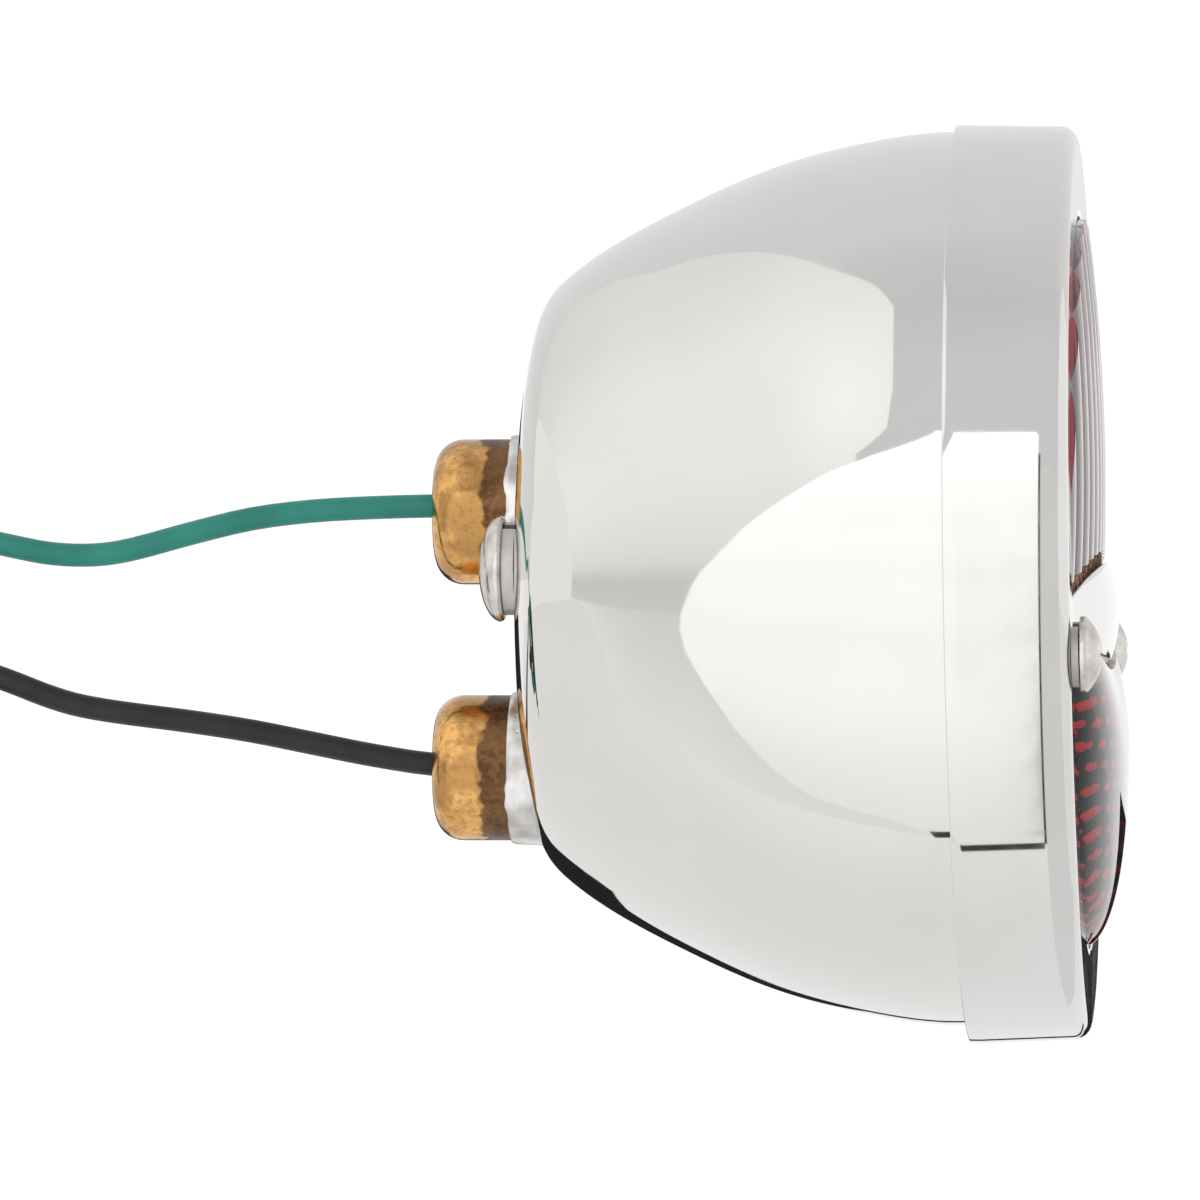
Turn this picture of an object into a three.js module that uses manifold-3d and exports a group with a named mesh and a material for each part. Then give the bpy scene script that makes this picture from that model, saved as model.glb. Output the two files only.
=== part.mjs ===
// Round twin-lens motorcycle tail light: a stop lamp over a tail lamp in one deep bowl.
// Millimetres. +X is the way the light shines, +Z is up, +Y is the lamp's left side seen from behind.
// The origin is on the bowl's axis at its flat rear face, where the lamp is bolted on.
import * as THREE from "three";
import { mergeVertices } from "three/addons/utils/BufferGeometryUtils.js";
import Module from "manifold-3d";

const wasm = await Module();
wasm.setup();

// Bowl
const BOWL_DEPTH = 58.7; // rear face to rim
const BOWL_RADIUS = 52.7; // widest, just behind the door
const BOWL_WALL = 1;
const BOWL_FLAT_RADIUS = 24.2; // the flat seat at the back
const RIM_TAPER = 0.8; // how much the hidden rim closes in, to lead the door on
// The stamped side from the flat seat to the widest place: [share of the depth, share of the radius]
const BOWL_SIDE = [
  [0.016, 0.567],
  [0.04, 0.634],
  [0.077, 0.678],
  [0.136, 0.727],
  [0.298, 0.827],
  [0.499, 0.924],
  [0.698, 0.98],
  [0.838, 0.998],
];

// Bulb sockets, soldered through the bowl's back
const SOCKETS = [
  { name: "stop", height: 7.9, bulbRadius: 13, bulbLength: 46.5 },
  { name: "tail", height: -22.4, bulbRadius: 9.5, bulbLength: 36.5 },
];
const SOCKET_RADIUS = 8.6;
const SOCKET_WALL = 0.6;
const SOCKET_BACK = 11.6; // how far it stands out behind the bowl
const SOCKET_FRONT = 13; // how far it reaches into the bowl
const SOCKET_CORNER = 3.3;
const LEAD_HOLE_RADIUS = 2.4;
const COLLAR_LENGTH = 2.5;
const COLLAR_RADIUS = SOCKET_RADIUS + 0.8;

// What the bulb pushes on
const DISC_THICKNESS = 1.6;
const DISC_FRONT = -3;
const BUTTON_RADIUS = 2;
const BUTTON_HEAD = 1;
const BUTTON_SHANK = 1.1;
const SPRING_RADIUS = 5;
const SPRING_WIRE = 0.3;
const SPRING_TURNS = 4;
const PLUNGER_TRAVEL = 2;

// Bayonet bulb
const BASE_RADIUS = SOCKET_RADIUS - 1;
const BASE_WALL = 0.4;
const BASE_LENGTH = 16;
const PIN_RADIUS = 1;
const PIN_REACH = SOCKET_RADIUS + 0.3;
const PIN_PLACE = 7;
const BULB_TURN = 18; // degrees from locked to free
const GLASS_WALL = 0.6;
const GLASS_SEAT = 2.2; // how far the glass goes into the base
const NECK_RADIUS = BASE_RADIUS - 0.9;
const FILAMENT_WIRE = 0.35;

// Mounting screws
const MOUNT_SPACING = 38.1;
const MOUNT_HEIGHT = 1.1;
const MOUNT_SHANK = 3.1;
const MOUNT_HEAD_RADIUS = 6.2;
const MOUNT_HEAD = 3;
const MOUNT_LENGTH = 14;
const MOUNT_LOCK_WASHER = 1.4;
const MOUNT_LOCK_RADIUS = 5.4;
const MOUNT_WASHER = 1;
const MOUNT_WASHER_RADIUS = 5.6;
const MOUNT_NUT = 4.5;
const MOUNT_NUT_WIDTH = 10;

// Baffle between the two lamps
const BAFFLE_HEIGHT = -7.2;
const BAFFLE_THICKNESS = 0.6;
const BAFFLE_BACK = 15;
const BAFFLE_FRONT_GAP = 2.5;

// Door: the ring that slips over the rim, with the divider bar pressed in one piece
const DOOR_RADIUS = BOWL_RADIUS + 1.4; // at its rear edge
const DOOR_DRAFT = 0.35; // how much narrower it is at the front
const DOOR_WALL = 0.55;
const DOOR_OVERLAP = 7.6; // how far it covers the rim
const DOOR_FRONT = 6.5; // rim to the door's front face
const DOOR_CORNER = 2;
const DOOR_DROP = 0.6; // it hangs on the rim by its looseness
const DOOR_LEAN = -0.9; // degrees, top to the rear
const OPENING_RADIUS = 43.2;
const BAR_HEIGHT = -3.3; // middle of the divider
const BAR_HALF = 5.7; // half its width at the middle
const BAR_END_HALF = 1.4; // half its width at each end
const BAR_CROWN = 3.9; // how far its middle stands out of the door's face
const BAR_ROUND = 16; // radius across the bar

// Lenses, gaskets and retainer
const FLANGE_RADIUS = 45.4;
const FLANGE_THICKNESS = 2.2;
const LENS_THICKNESS = 2.6;
const GASKET_THICKNESS = 0.8;
const LENS_EDGE_GAP = 0.4; // lens dome to the door's opening
const CORK_EDGE = 1.2; // cork showing between lens and divider
const LENS_SPLIT = 1.4; // between the two lenses, behind the divider
// Each dome is the front of an ellipsoid: crown ahead of the door's face, height, and three half-axes
const LENSES = [
  { name: "upper", side: 1, crown: 2.5, height: 14.6, axes: [30, 112, 86.6], grid: [64, 40] },
  { name: "lower", side: -1, crown: 4.9, height: -23.4, axes: [8, 39.2, 22.7], grid: [28, 18] },
];
const RETAINER_THICKNESS = 0.6;
const RETAINER_INNER = 41;
const RETAINER_OUTER = 51;
const RETAINER_BAR = 4;

// Door screws and the brackets that they go into
const SCREW_Y = 47.5;
const SCREW_HEIGHT = -8.2;
const SCREW_SHANK = 2.1;
const SCREW_HEAD_RADIUS = 4.3;
const SCREW_HEAD = 2.5;
const SCREW_LENGTH = 13;
const SCREW_RECESS = 1.4; // depth of the cross in its head
const LOCK_WASHER = 0.8;
const LOCK_WASHER_RADIUS = 3.7;
const BRACKET_WIDTH = 10;
const BRACKET_FOOT = 3.5;
const BRACKET_SHEET = 1;
const BRACKET_LENGTH = 14;
const BRACKET_SET_BACK = 1.8; // foot to rim

// Leads: round wire, put away as one tied coil
const LEAD_RADIUS = 1.4;
const LEAD_START = 2.6; // behind the disc, inside the socket
const COIL_CENTRE = [-90, 0, -24];
const COIL_RADIUS = 15.5; // middle of the turns
const COIL_DEEP = 6.2; // across the turns, from the inside to the outside
const COIL_WIDE = 10.4; // along the coil's axis
const LEAD_STEPS = 20;
const LEADS = [
  {
    name: "stop",
    colour: 0x287a6e,
    route: [
      [-12, 0, 8.6], [-19.4, 0, 8.4], [-26.5, 0, 8], [-33.6, 0, 7.1], [-40.8, 0, 5.4],
      [-47.9, 0, 3.5], [-51.4, 0, 2.9], [-55, 0, 2.8], [-58.5, 0, 3.1], [-62.1, 0, 3.8],
      [-67, 0.5, 4.7], [-72.6, 1.6, 4.4], [-78.2, 2.7, 2.4], [-84, 3.3, -0.6], [-89.2, 3.5, -3.7],
    ],
    end: [[-88.9, -3.4, -44.3], [-83.8, -3.4, -47.2]],
  },
  {
    name: "tail",
    colour: 0x353535,
    route: [
      [-12, 0, -22], [-19.4, 0, -20.9], [-26.5, 0, -19.5], [-33.6, 0, -18.1], [-40.8, 0, -17],
      [-47.9, 0, -16.1], [-51.4, 0, -15.6], [-55, 0, -14.9], [-58.5, 0, -13.8], [-62.1, 0, -12.4],
      [-65.6, 0.4, -11.2], [-69.2, 1.4, -10.3], [-72.3, 2.6, -10], [-75.3, 3.6, -10],
    ],
    end: [[-84.3, -3.6, -43.5], [-79.7, -3.6, -46.2]],
  },
];
const LEAD_TIP_RADIUS = 0.8;
const LEAD_TIP_LENGTH = 6;
const TIE_WIDTH = 4;
const TIE_THICKNESS = 0.9;

// Clearances
const RUNNING = 0.3; // round piece in a round hole
const SEATED = 0.1; // flat piece on a flat piece

const ROUND = 48; // facets round the bowl and the door
const SMALL = 20; // round a socket or a bulb
const TINY = 16; // round a screw or a contact

// ---- materials

function material(color, roughness, metalness, opacity = 1) {
  return new THREE.MeshStandardMaterial({ color, roughness, metalness, opacity, transparent: opacity < 1 });
}

const stainless = () => material(0xd8d5d1, 0.08, 1);
const steel = () => material(0xa5a29d, 0.35, 1);
const brass = () => material(0xbd945f, 0.3, 1);
const tinned = () => material(0xc8c6c2, 0.35, 1);
const redGlass = () => material(0x5c0c10, 0.08, 0, 0.8);
const clearGlass = () => material(0xf0f3f2, 0.03, 0, 0.35);
const cork = () => material(0x6b4630, 0.9, 0);
const fibre = () => material(0x3a2a20, 0.8, 0);
const wireCover = (colour) => material(colour, 0.45, 0);

// ---- solids

// A closed three.js geometry as a manifold solid.
function solid(geometry) {
  const bare = new THREE.BufferGeometry();
  const flat = geometry.index ? geometry.toNonIndexed() : geometry;
  bare.setAttribute("position", flat.getAttribute("position"));
  const merged = mergeVertices(bare, 1e-4);
  const corners = merged.index.array;
  const kept = [];
  for (let i = 0; i < corners.length; i += 3) {
    const [a, b, c] = corners.slice(i, i + 3);
    if (a !== b && b !== c && c !== a) kept.push(a, b, c);
  }
  return new wasm.Manifold(
    new wasm.Mesh({
      numProp: 3,
      vertProperties: merged.attributes.position.array,
      triVerts: new Uint32Array(kept),
    }),
  );
}

// A profile of [x, radius] points turned about the X axis.
// It closes on itself unless it starts and ends on the axis.
function turned(profile, facets = SMALL) {
  const points = profile.map(([x, radius]) => new THREE.Vector2(Math.max(radius, 0), x));
  const onAxis = points[0].x === 0 && points.at(-1).x === 0;
  if (!onAxis) points.push(points[0].clone());
  if (THREE.ShapeUtils.area(points) < 0) points.reverse();
  const geometry = new THREE.LatheGeometry(points, facets);
  return solid(geometry.rotateZ(-Math.PI / 2));
}

// An arc of [x, radius] points round a centre, between two angles in degrees.
function arc(x, radius, size, from, to, steps = 4) {
  const points = [];
  for (let i = 0; i <= steps; i++) {
    const angle = THREE.MathUtils.degToRad(from + ((to - from) * i) / steps);
    points.push([x + size * Math.cos(angle), radius + size * Math.sin(angle)]);
  }
  return points;
}

function ring(from, to, inner, outer, facets = SMALL) {
  return turned([[from, inner], [to, inner], [to, outer], [from, outer]], facets);
}

function rod(from, to, radius, facets = SMALL) {
  return turned([[from, 0], [from, radius], [to, radius], [to, 0]], facets);
}

// An outline in the Y-Z plane, given as [y, z] points, drawn out from one X to another.
function prism(outline, from, to) {
  const shape = new THREE.Shape(outline.map(([y, z]) => new THREE.Vector2(y, z)));
  const geometry = new THREE.ExtrudeGeometry(shape, { depth: to - from, bevelEnabled: false });
  const basis = new THREE.Matrix4().makeBasis(
    new THREE.Vector3(0, 1, 0),
    new THREE.Vector3(0, 0, 1),
    new THREE.Vector3(1, 0, 0),
  );
  return solid(geometry.applyMatrix4(basis).translate(from, 0, 0));
}

function block(x, y, z) {
  const geometry = new THREE.BoxGeometry(x[1] - x[0], y[1] - y[0], z[1] - z[0]);
  return solid(geometry.translate((x[0] + x[1]) / 2, (y[0] + y[1]) / 2, (z[0] + z[1]) / 2));
}

// A round wire along a curve.
function wire(curve, radius, steps, sides = 8) {
  const section = new THREE.Shape();
  for (let i = 0; i < sides; i++) {
    const angle = (2 * Math.PI * i) / sides;
    const point = [radius * Math.cos(angle), radius * Math.sin(angle)];
    if (i === 0) section.moveTo(...point);
    else section.lineTo(...point);
  }
  section.closePath();
  return solid(new THREE.ExtrudeGeometry(section, { steps, extrudePath: curve, bevelEnabled: false }));
}

function curveThrough(points) {
  return new THREE.CatmullRomCurve3(points.map((p) => new THREE.Vector3(...p)));
}

// Puts a solid in the scene as a named mesh.
function place(parent, name, body, look, at = [0, 0, 0]) {
  const made = body.getMesh();
  const geometry = new THREE.BufferGeometry();
  geometry.setAttribute("position", new THREE.BufferAttribute(made.vertProperties, 3));
  geometry.setIndex(new THREE.BufferAttribute(made.triVerts, 1));
  geometry.computeVertexNormals();
  const mesh = new THREE.Mesh(geometry, look);
  mesh.name = name;
  mesh.position.set(...at);
  parent.add(mesh);
}

const lamp = new THREE.Group();

// ---- bowl

// The bowl's outside from the rear face to the rim, moved inwards by an offset.
function bowlOutside(offset = 0) {
  const side = BOWL_SIDE.map(
    ([depth, radius]) => new THREE.Vector2(depth * BOWL_DEPTH, radius * BOWL_RADIUS),
  );
  side.unshift(new THREE.Vector2(0, BOWL_FLAT_RADIUS));
  const rim = new THREE.Vector2(BOWL_DEPTH, BOWL_RADIUS - RIM_TAPER);
  const curve = new THREE.SplineCurve([...side, rim]);
  const points = [[offset, 0]];
  const steps = 12;
  for (let i = 0; i <= steps; i++) {
    const at = curve.getPoint(i / steps);
    const along = curve.getTangent(i / steps);
    points.push([at.x + offset * along.y, at.y - offset * along.x]);
  }
  return points;
}

// Everything inside the bowl, moved inwards by an offset and open at the rim.
function bowlFilled(offset) {
  const points = bowlOutside(offset);
  const mouth = BOWL_DEPTH + 1;
  const rimRadius = points.at(-1)[1];
  return turned([...points, [mouth, rimRadius], [mouth, 0]], ROUND);
}

function mountPlaces() {
  return [
    { side: "right", y: -MOUNT_SPACING / 2 },
    { side: "left", y: MOUNT_SPACING / 2 },
  ];
}

function makeBowl() {
  const outside = bowlOutside();
  let bowl = turned([...outside, [BOWL_DEPTH, 0]], ROUND).subtract(bowlFilled(BOWL_WALL));
  for (const socket of SOCKETS) {
    bowl = bowl.subtract(rod(-1, SOCKET_FRONT, SOCKET_RADIUS + RUNNING).translate([0, 0, socket.height]));
  }
  for (const { y } of mountPlaces()) {
    bowl = bowl.subtract(rod(-1, 3, MOUNT_SHANK + RUNNING).translate([0, y, MOUNT_HEIGHT]));
  }
  place(lamp, "bowl", bowl, stainless());
}

// ---- sockets and bulbs

function makeSocket({ name, height }) {
  const inner = SOCKET_RADIUS - SOCKET_WALL;
  const back = -SOCKET_BACK;
  let shell = turned([
    [back, LEAD_HOLE_RADIUS],
    [back + SOCKET_WALL, LEAD_HOLE_RADIUS],
    ...arc(back + SOCKET_CORNER, SOCKET_RADIUS - SOCKET_CORNER, SOCKET_CORNER - SOCKET_WALL, 180, 90),
    [SOCKET_FRONT, inner],
    [SOCKET_FRONT, SOCKET_RADIUS],
    ...arc(back + SOCKET_CORNER, SOCKET_RADIUS - SOCKET_CORNER, SOCKET_CORNER, 90, 180),
  ]);
  shell = shell.subtract(bayonetSlots());
  place(lamp, `${name}_socket_shell`, shell, brass(), [0, 0, height]);

  const collar = ring(-COLLAR_LENGTH, BOWL_DEPTH / 2, SOCKET_RADIUS + SEATED, COLLAR_RADIUS)
    .translate([0, 0, height])
    .subtract(bowlFilled(-SEATED));
  place(lamp, `${name}_socket_collar`, collar, tinned());
}

// A channel for each pin from the socket's mouth, and the window that it turns in.
function bayonetSlots() {
  const half = PIN_RADIUS + RUNNING;
  const window = [PIN_PLACE - PLUNGER_TRAVEL - half, PIN_PLACE + half];
  let cut = null;
  for (const facing of [0, 180]) {
    for (let step = 0; step <= 2; step++) {
      const angle = facing + (BULB_TURN * step) / 2;
      const reach = step === 2 ? SOCKET_FRONT + 1 : window[1];
      const slot = block([window[0], reach], [0, PIN_REACH + 2], [-half, half]).rotate([angle, 0, 0]);
      cut = cut ? cut.add(slot) : slot;
    }
  }
  return cut;
}

function makePlunger({ name, height }) {
  const discRadius = SOCKET_RADIUS - SOCKET_WALL - RUNNING;
  const disc = ring(DISC_FRONT - DISC_THICKNESS, DISC_FRONT, BUTTON_SHANK + RUNNING, discRadius);
  place(lamp, `${name}_contact_disc`, disc, fibre(), [0, 0, height]);

  const headBack = DISC_FRONT + SEATED;
  const tail = DISC_FRONT - DISC_THICKNESS - SEATED;
  const button = turned([
    [tail - 0.6, 0],
    [tail - 0.6, BUTTON_RADIUS],
    [tail, BUTTON_RADIUS],
    [tail, BUTTON_SHANK],
    [headBack, BUTTON_SHANK],
    [headBack, BUTTON_RADIUS],
    [headBack + BUTTON_HEAD * 0.6, BUTTON_RADIUS],
    [headBack + BUTTON_HEAD, BUTTON_RADIUS * 0.6],
    [headBack + BUTTON_HEAD, 0],
  ], TINY);
  place(lamp, `${name}_contact_button`, button, brass(), [0, 0, height]);

  const from = -SOCKET_BACK + SOCKET_WALL + SPRING_WIRE + SEATED;
  const to = DISC_FRONT - DISC_THICKNESS - SPRING_WIRE - SEATED;
  const coil = [];
  const perTurn = 8;
  for (let i = 0; i <= SPRING_TURNS * perTurn; i++) {
    const angle = (2 * Math.PI * i) / perTurn;
    const along = from + ((to - from) * i) / (SPRING_TURNS * perTurn);
    coil.push([along, SPRING_RADIUS * Math.cos(angle), SPRING_RADIUS * Math.sin(angle)]);
  }
  const spring = wire(curveThrough(coil), SPRING_WIRE, SPRING_TURNS * 10, 5);
  place(lamp, `${name}_contact_spring`, spring, steel(), [0, 0, height]);
}

function makeBulb({ name, height, bulbRadius, bulbLength }) {
  const at = [0, 0, height];
  const tipBack = DISC_FRONT + BUTTON_HEAD + 2 * SEATED;
  const tipFront = tipBack + 0.9;
  const cupFront = tipFront + SEATED + 1.4;
  const tip = turned([[tipBack, 0], ...arc(tipFront, 0, 1.8, 150, 90, 3), [tipFront, 0]], TINY);
  place(lamp, `${name}_bulb_tip`, tip.intersect(rod(tipBack, tipFront, 3)), tinned(), at);

  const baseBack = cupFront - 1.4 + 0.3;
  const cup = turned([
    [tipFront + SEATED, 0],
    [tipFront + SEATED, 3.4],
    [cupFront, 5.4],
    [cupFront + 1.2, 5.4],
    [cupFront + 1.2, 0],
  ], TINY);
  place(lamp, `${name}_bulb_insulator`, cup, fibre(), at);

  const inner = BASE_RADIUS - BASE_WALL;
  let base = turned([
    [baseBack, 5.7],
    [baseBack + BASE_WALL, 5.7],
    [baseBack + 1.6, inner],
    [baseBack + BASE_LENGTH, inner],
    [baseBack + BASE_LENGTH, BASE_RADIUS],
    [baseBack + 1.2, BASE_RADIUS],
  ]);
  for (const facing of [0, 180]) {
    const pin = solid(new THREE.CylinderGeometry(PIN_RADIUS, PIN_RADIUS, PIN_REACH - inner, 16))
      .translate([PIN_PLACE, (PIN_REACH + inner) / 2, 0])
      .rotate([facing, 0, 0]);
    base = base.add(pin);
  }
  place(lamp, `${name}_bulb_base`, base, brass(), at);

  const glassBack = baseBack + BASE_LENGTH - GLASS_SEAT;
  const glass = envelope(glassBack, bulbRadius, bulbLength, 0);
  const hollow = envelope(
    glassBack - 1,
    bulbRadius - GLASS_WALL,
    bulbLength - GLASS_WALL,
    GLASS_WALL,
  );
  place(lamp, `${name}_bulb_glass`, glass.subtract(hollow), clearGlass(), at);

  const stemBack = cupFront + 2;
  const stemFront = bulbLength - 1.6 * bulbRadius;
  const stem = turned([
    [stemBack, 0],
    [stemBack, 2.6],
    [stemFront - 3, 1.8],
    [stemFront, 1.8],
    [stemFront, 0],
  ], TINY);
  place(lamp, `${name}_bulb_stem`, stem, clearGlass(), at);

  const light = bulbLength - bulbRadius;
  const legs = curveThrough([
    [stemFront + RUNNING, -1.4, 0],
    [(stemFront + light) / 2, -2.2, 0],
    [light - 0.6, -3.4, 0],
    [light, -2.6, 0],
    [light + 0.6, 0, 0],
    [light, 2.6, 0],
    [light - 0.6, 3.4, 0],
    [(stemFront + light) / 2, 2.2, 0],
    [stemFront + RUNNING, 1.4, 0],
  ]);
  place(lamp, `${name}_bulb_filament`, wire(legs, FILAMENT_WIRE, 18, 5), steel(), at);
}

// The bulb's outer shape from inside its base: a neck that opens into a ball.
function envelope(back, radius, length, thinner) {
  const centre = length - radius;
  const neck = NECK_RADIUS - thinner;
  const meet = 180 - THREE.MathUtils.radToDeg(Math.asin((neck + 0.3) / radius));
  return turned([[back, 0], [back, neck], ...arc(centre, 0, radius, meet, 0, 8).slice(0, -1), [length, 0]]);
}

// ---- mounting screws

function makeMountScrew({ side, y }) {
  const at = [0, y, MOUNT_HEIGHT];
  const under = -MOUNT_LOCK_WASHER - 2 * SEATED;
  const domeSize = (MOUNT_HEAD_RADIUS ** 2 + (MOUNT_HEAD - 0.5) ** 2) / (2 * (MOUNT_HEAD - 0.5));
  const half = THREE.MathUtils.radToDeg(Math.asin(MOUNT_HEAD_RADIUS / domeSize));
  const dome = arc(under - MOUNT_HEAD + domeSize, 0, domeSize, 180, 180 - half).slice(1);
  const screw = turned([
    [under - MOUNT_HEAD, 0],
    ...dome,
    [under, MOUNT_HEAD_RADIUS],
    [under, MOUNT_SHANK],
    [under + MOUNT_LENGTH, MOUNT_SHANK],
    [under + MOUNT_LENGTH, 0],
  ]);
  place(lamp, `${side}_mount_screw`, screw, stainless(), at);

  const lock = ring(-MOUNT_LOCK_WASHER - SEATED, -SEATED, MOUNT_SHANK + RUNNING, MOUNT_LOCK_RADIUS);
  place(lamp, `${side}_mount_lock_washer`, lock.subtract(washerSplit(MOUNT_LOCK_RADIUS)), steel(), at);

  const inside = BOWL_WALL + SEATED;
  const washer = ring(inside, inside + MOUNT_WASHER, MOUNT_SHANK + RUNNING, MOUNT_WASHER_RADIUS);
  place(lamp, `${side}_mount_washer`, washer, steel(), at);

  const nutBack = inside + MOUNT_WASHER + SEATED;
  const halfNut = MOUNT_NUT_WIDTH / 2;
  const nut = block([nutBack, nutBack + MOUNT_NUT], [-halfNut, halfNut], [-halfNut, halfNut])
    .subtract(rod(nutBack - 1, nutBack + MOUNT_NUT + 1, MOUNT_SHANK + RUNNING));
  place(lamp, `${side}_mount_nut`, nut, steel(), at);
}

// The slanted cut of a split lock washer.
function washerSplit(radius) {
  return block([-20, 80], [-0.4, 0.4], [0, radius + 1]);
}

// ---- baffle

function makeBaffle() {
  const widest = BOWL_RADIUS;
  const plate = block(
    [BAFFLE_BACK, BOWL_DEPTH - BAFFLE_FRONT_GAP],
    [-widest, widest],
    [BAFFLE_HEIGHT - BAFFLE_THICKNESS, BAFFLE_HEIGHT],
  );
  const clearOfBrackets = SCREW_Y - BRACKET_WIDTH;
  const notch = BOWL_DEPTH - BRACKET_LENGTH - 2;
  let baffle = plate.intersect(bowlFilled(BOWL_WALL + RUNNING));
  for (const side of [-1, 1]) {
    const ends = [side * clearOfBrackets, side * widest * 1.2].sort((a, b) => a - b);
    baffle = baffle.subtract(block([notch, BOWL_DEPTH], ends, [-BOWL_RADIUS, 0]));
  }
  place(lamp, "baffle", baffle, steel());
}

// ---- door

const doorFace = BOWL_DEPTH + DOOR_FRONT;
const door = new THREE.Group();
door.position.set(BOWL_DEPTH, 0, -DOOR_DROP);
door.rotation.y = THREE.MathUtils.degToRad(DOOR_LEAN);
lamp.add(door);
const doorPieces = new THREE.Group();
doorPieces.position.x = -BOWL_DEPTH;
door.add(doorPieces);

const barReach = OPENING_RADIUS + 1; // the divider runs a little way into the ring

// Half the divider's width at a place across the lamp.
function barHalf(y) {
  return BAR_END_HALF + (BAR_HALF - BAR_END_HALF) * Math.max(0, 1 - (y / OPENING_RADIUS) ** 2);
}

// The points of a circle from one angle to another, in radians, without its two ends.
function roundBetween(radius, first, last, steps) {
  const points = [];
  for (let i = 1; i < steps; i++) {
    const angle = first + ((last - first) * i) / steps;
    points.push([radius * Math.cos(angle), radius * Math.sin(angle)]);
  }
  return points;
}

// One lens window: the door's round opening on one side of the divider, kept off the divider by a margin.
function windowOutline(side, radius, offBar, steps = 16) {
  const edgeHeight = (y) => BAR_HEIGHT + side * (barHalf(y) + offBar);
  let reach = radius;
  for (let round = 0; round < 6; round++) reach = Math.sqrt(radius ** 2 - edgeHeight(reach) ** 2);
  const outline = [];
  for (let i = 0; i <= steps; i++) {
    const y = -reach + (2 * reach * i) / steps;
    outline.push([y, edgeHeight(y)]);
  }
  const first = Math.atan2(edgeHeight(reach), reach);
  const last = side > 0 ? Math.PI - first : -Math.PI - first;
  return [...outline, ...roundBetween(radius, first, last, 26)];
}

// A round segment on one side of the divider's middle line.
function flangeOutline(side, radius) {
  const edge = BAR_HEIGHT + (side * LENS_SPLIT) / 2;
  const first = Math.asin(edge / radius);
  const last = side > 0 ? Math.PI - first : -Math.PI - first;
  const reach = radius * Math.cos(first);
  return [[-reach, edge], [reach, edge], ...roundBetween(radius, first, last, 28)];
}

function screwPlaces() {
  return [
    { side: "right", y: -SCREW_Y },
    { side: "left", y: SCREW_Y },
  ];
}

// The divider: a crowned strip from one side of the door to the other.
function dividerStrip() {
  const across = [];
  for (let i = 0; i <= 6; i++) {
    const y = -barReach + (barReach * i) / 3;
    const crown = BAR_CROWN * (1 - (y / barReach) ** 2);
    across.push([doorFace + crown, y, BAR_HEIGHT]);
  }
  const half = BAR_HALF + 1;
  const section = new THREE.Shape();
  const steps = 6;
  for (let i = -steps; i <= steps; i++) {
    const z = (half * i) / steps;
    const drop = z ** 2 / (2 * BAR_ROUND);
    if (i === -steps) section.moveTo(-z, drop);
    else section.lineTo(-z, drop);
  }
  for (let i = steps; i >= -steps; i--) {
    const z = (half * i) / steps;
    section.lineTo(-z, z ** 2 / (2 * BAR_ROUND) + DOOR_WALL);
  }
  section.closePath();
  const options = { steps: 18, extrudePath: curveThrough(across), bevelEnabled: false };
  return solid(new THREE.ExtrudeGeometry(section, options));
}

// The divider seen from the front, widest in the middle.
function dividerOutline() {
  const steps = 16;
  const upper = [];
  const lower = [];
  for (let i = 0; i <= steps; i++) {
    const y = -barReach + (2 * barReach * i) / steps;
    upper.unshift([y, BAR_HEIGHT + barHalf(y)]);
    lower.push([y, BAR_HEIGHT - barHalf(y)]);
  }
  return [...lower, ...upper];
}

function makeDoor() {
  const rear = BOWL_DEPTH - DOOR_OVERLAP;
  const frontRadius = DOOR_RADIUS - DOOR_DRAFT;
  const shell = turned([
    [rear, DOOR_RADIUS - DOOR_WALL],
    [rear, DOOR_RADIUS],
    ...arc(doorFace - DOOR_CORNER, frontRadius - DOOR_CORNER, DOOR_CORNER, 90, 0),
    [doorFace, 0],
    [doorFace - DOOR_WALL, 0],
    ...arc(doorFace - DOOR_CORNER, frontRadius - DOOR_CORNER, DOOR_CORNER - DOOR_WALL, 0, 90),
  ], ROUND);
  const opening = rod(doorFace - 2, doorFace + 1, OPENING_RADIUS, ROUND);
  const divider = dividerStrip().intersect(prism(dividerOutline(), doorFace - 2, doorFace + BAR_CROWN + 2));
  let bezel = shell.subtract(opening).add(divider);
  for (const { y } of screwPlaces()) {
    bezel = bezel.subtract(
      rod(doorFace - 2, doorFace + 1, SCREW_SHANK + RUNNING).translate([0, y, SCREW_HEIGHT]),
    );
  }
  place(doorPieces, "bezel", bezel, stainless());
}

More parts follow.
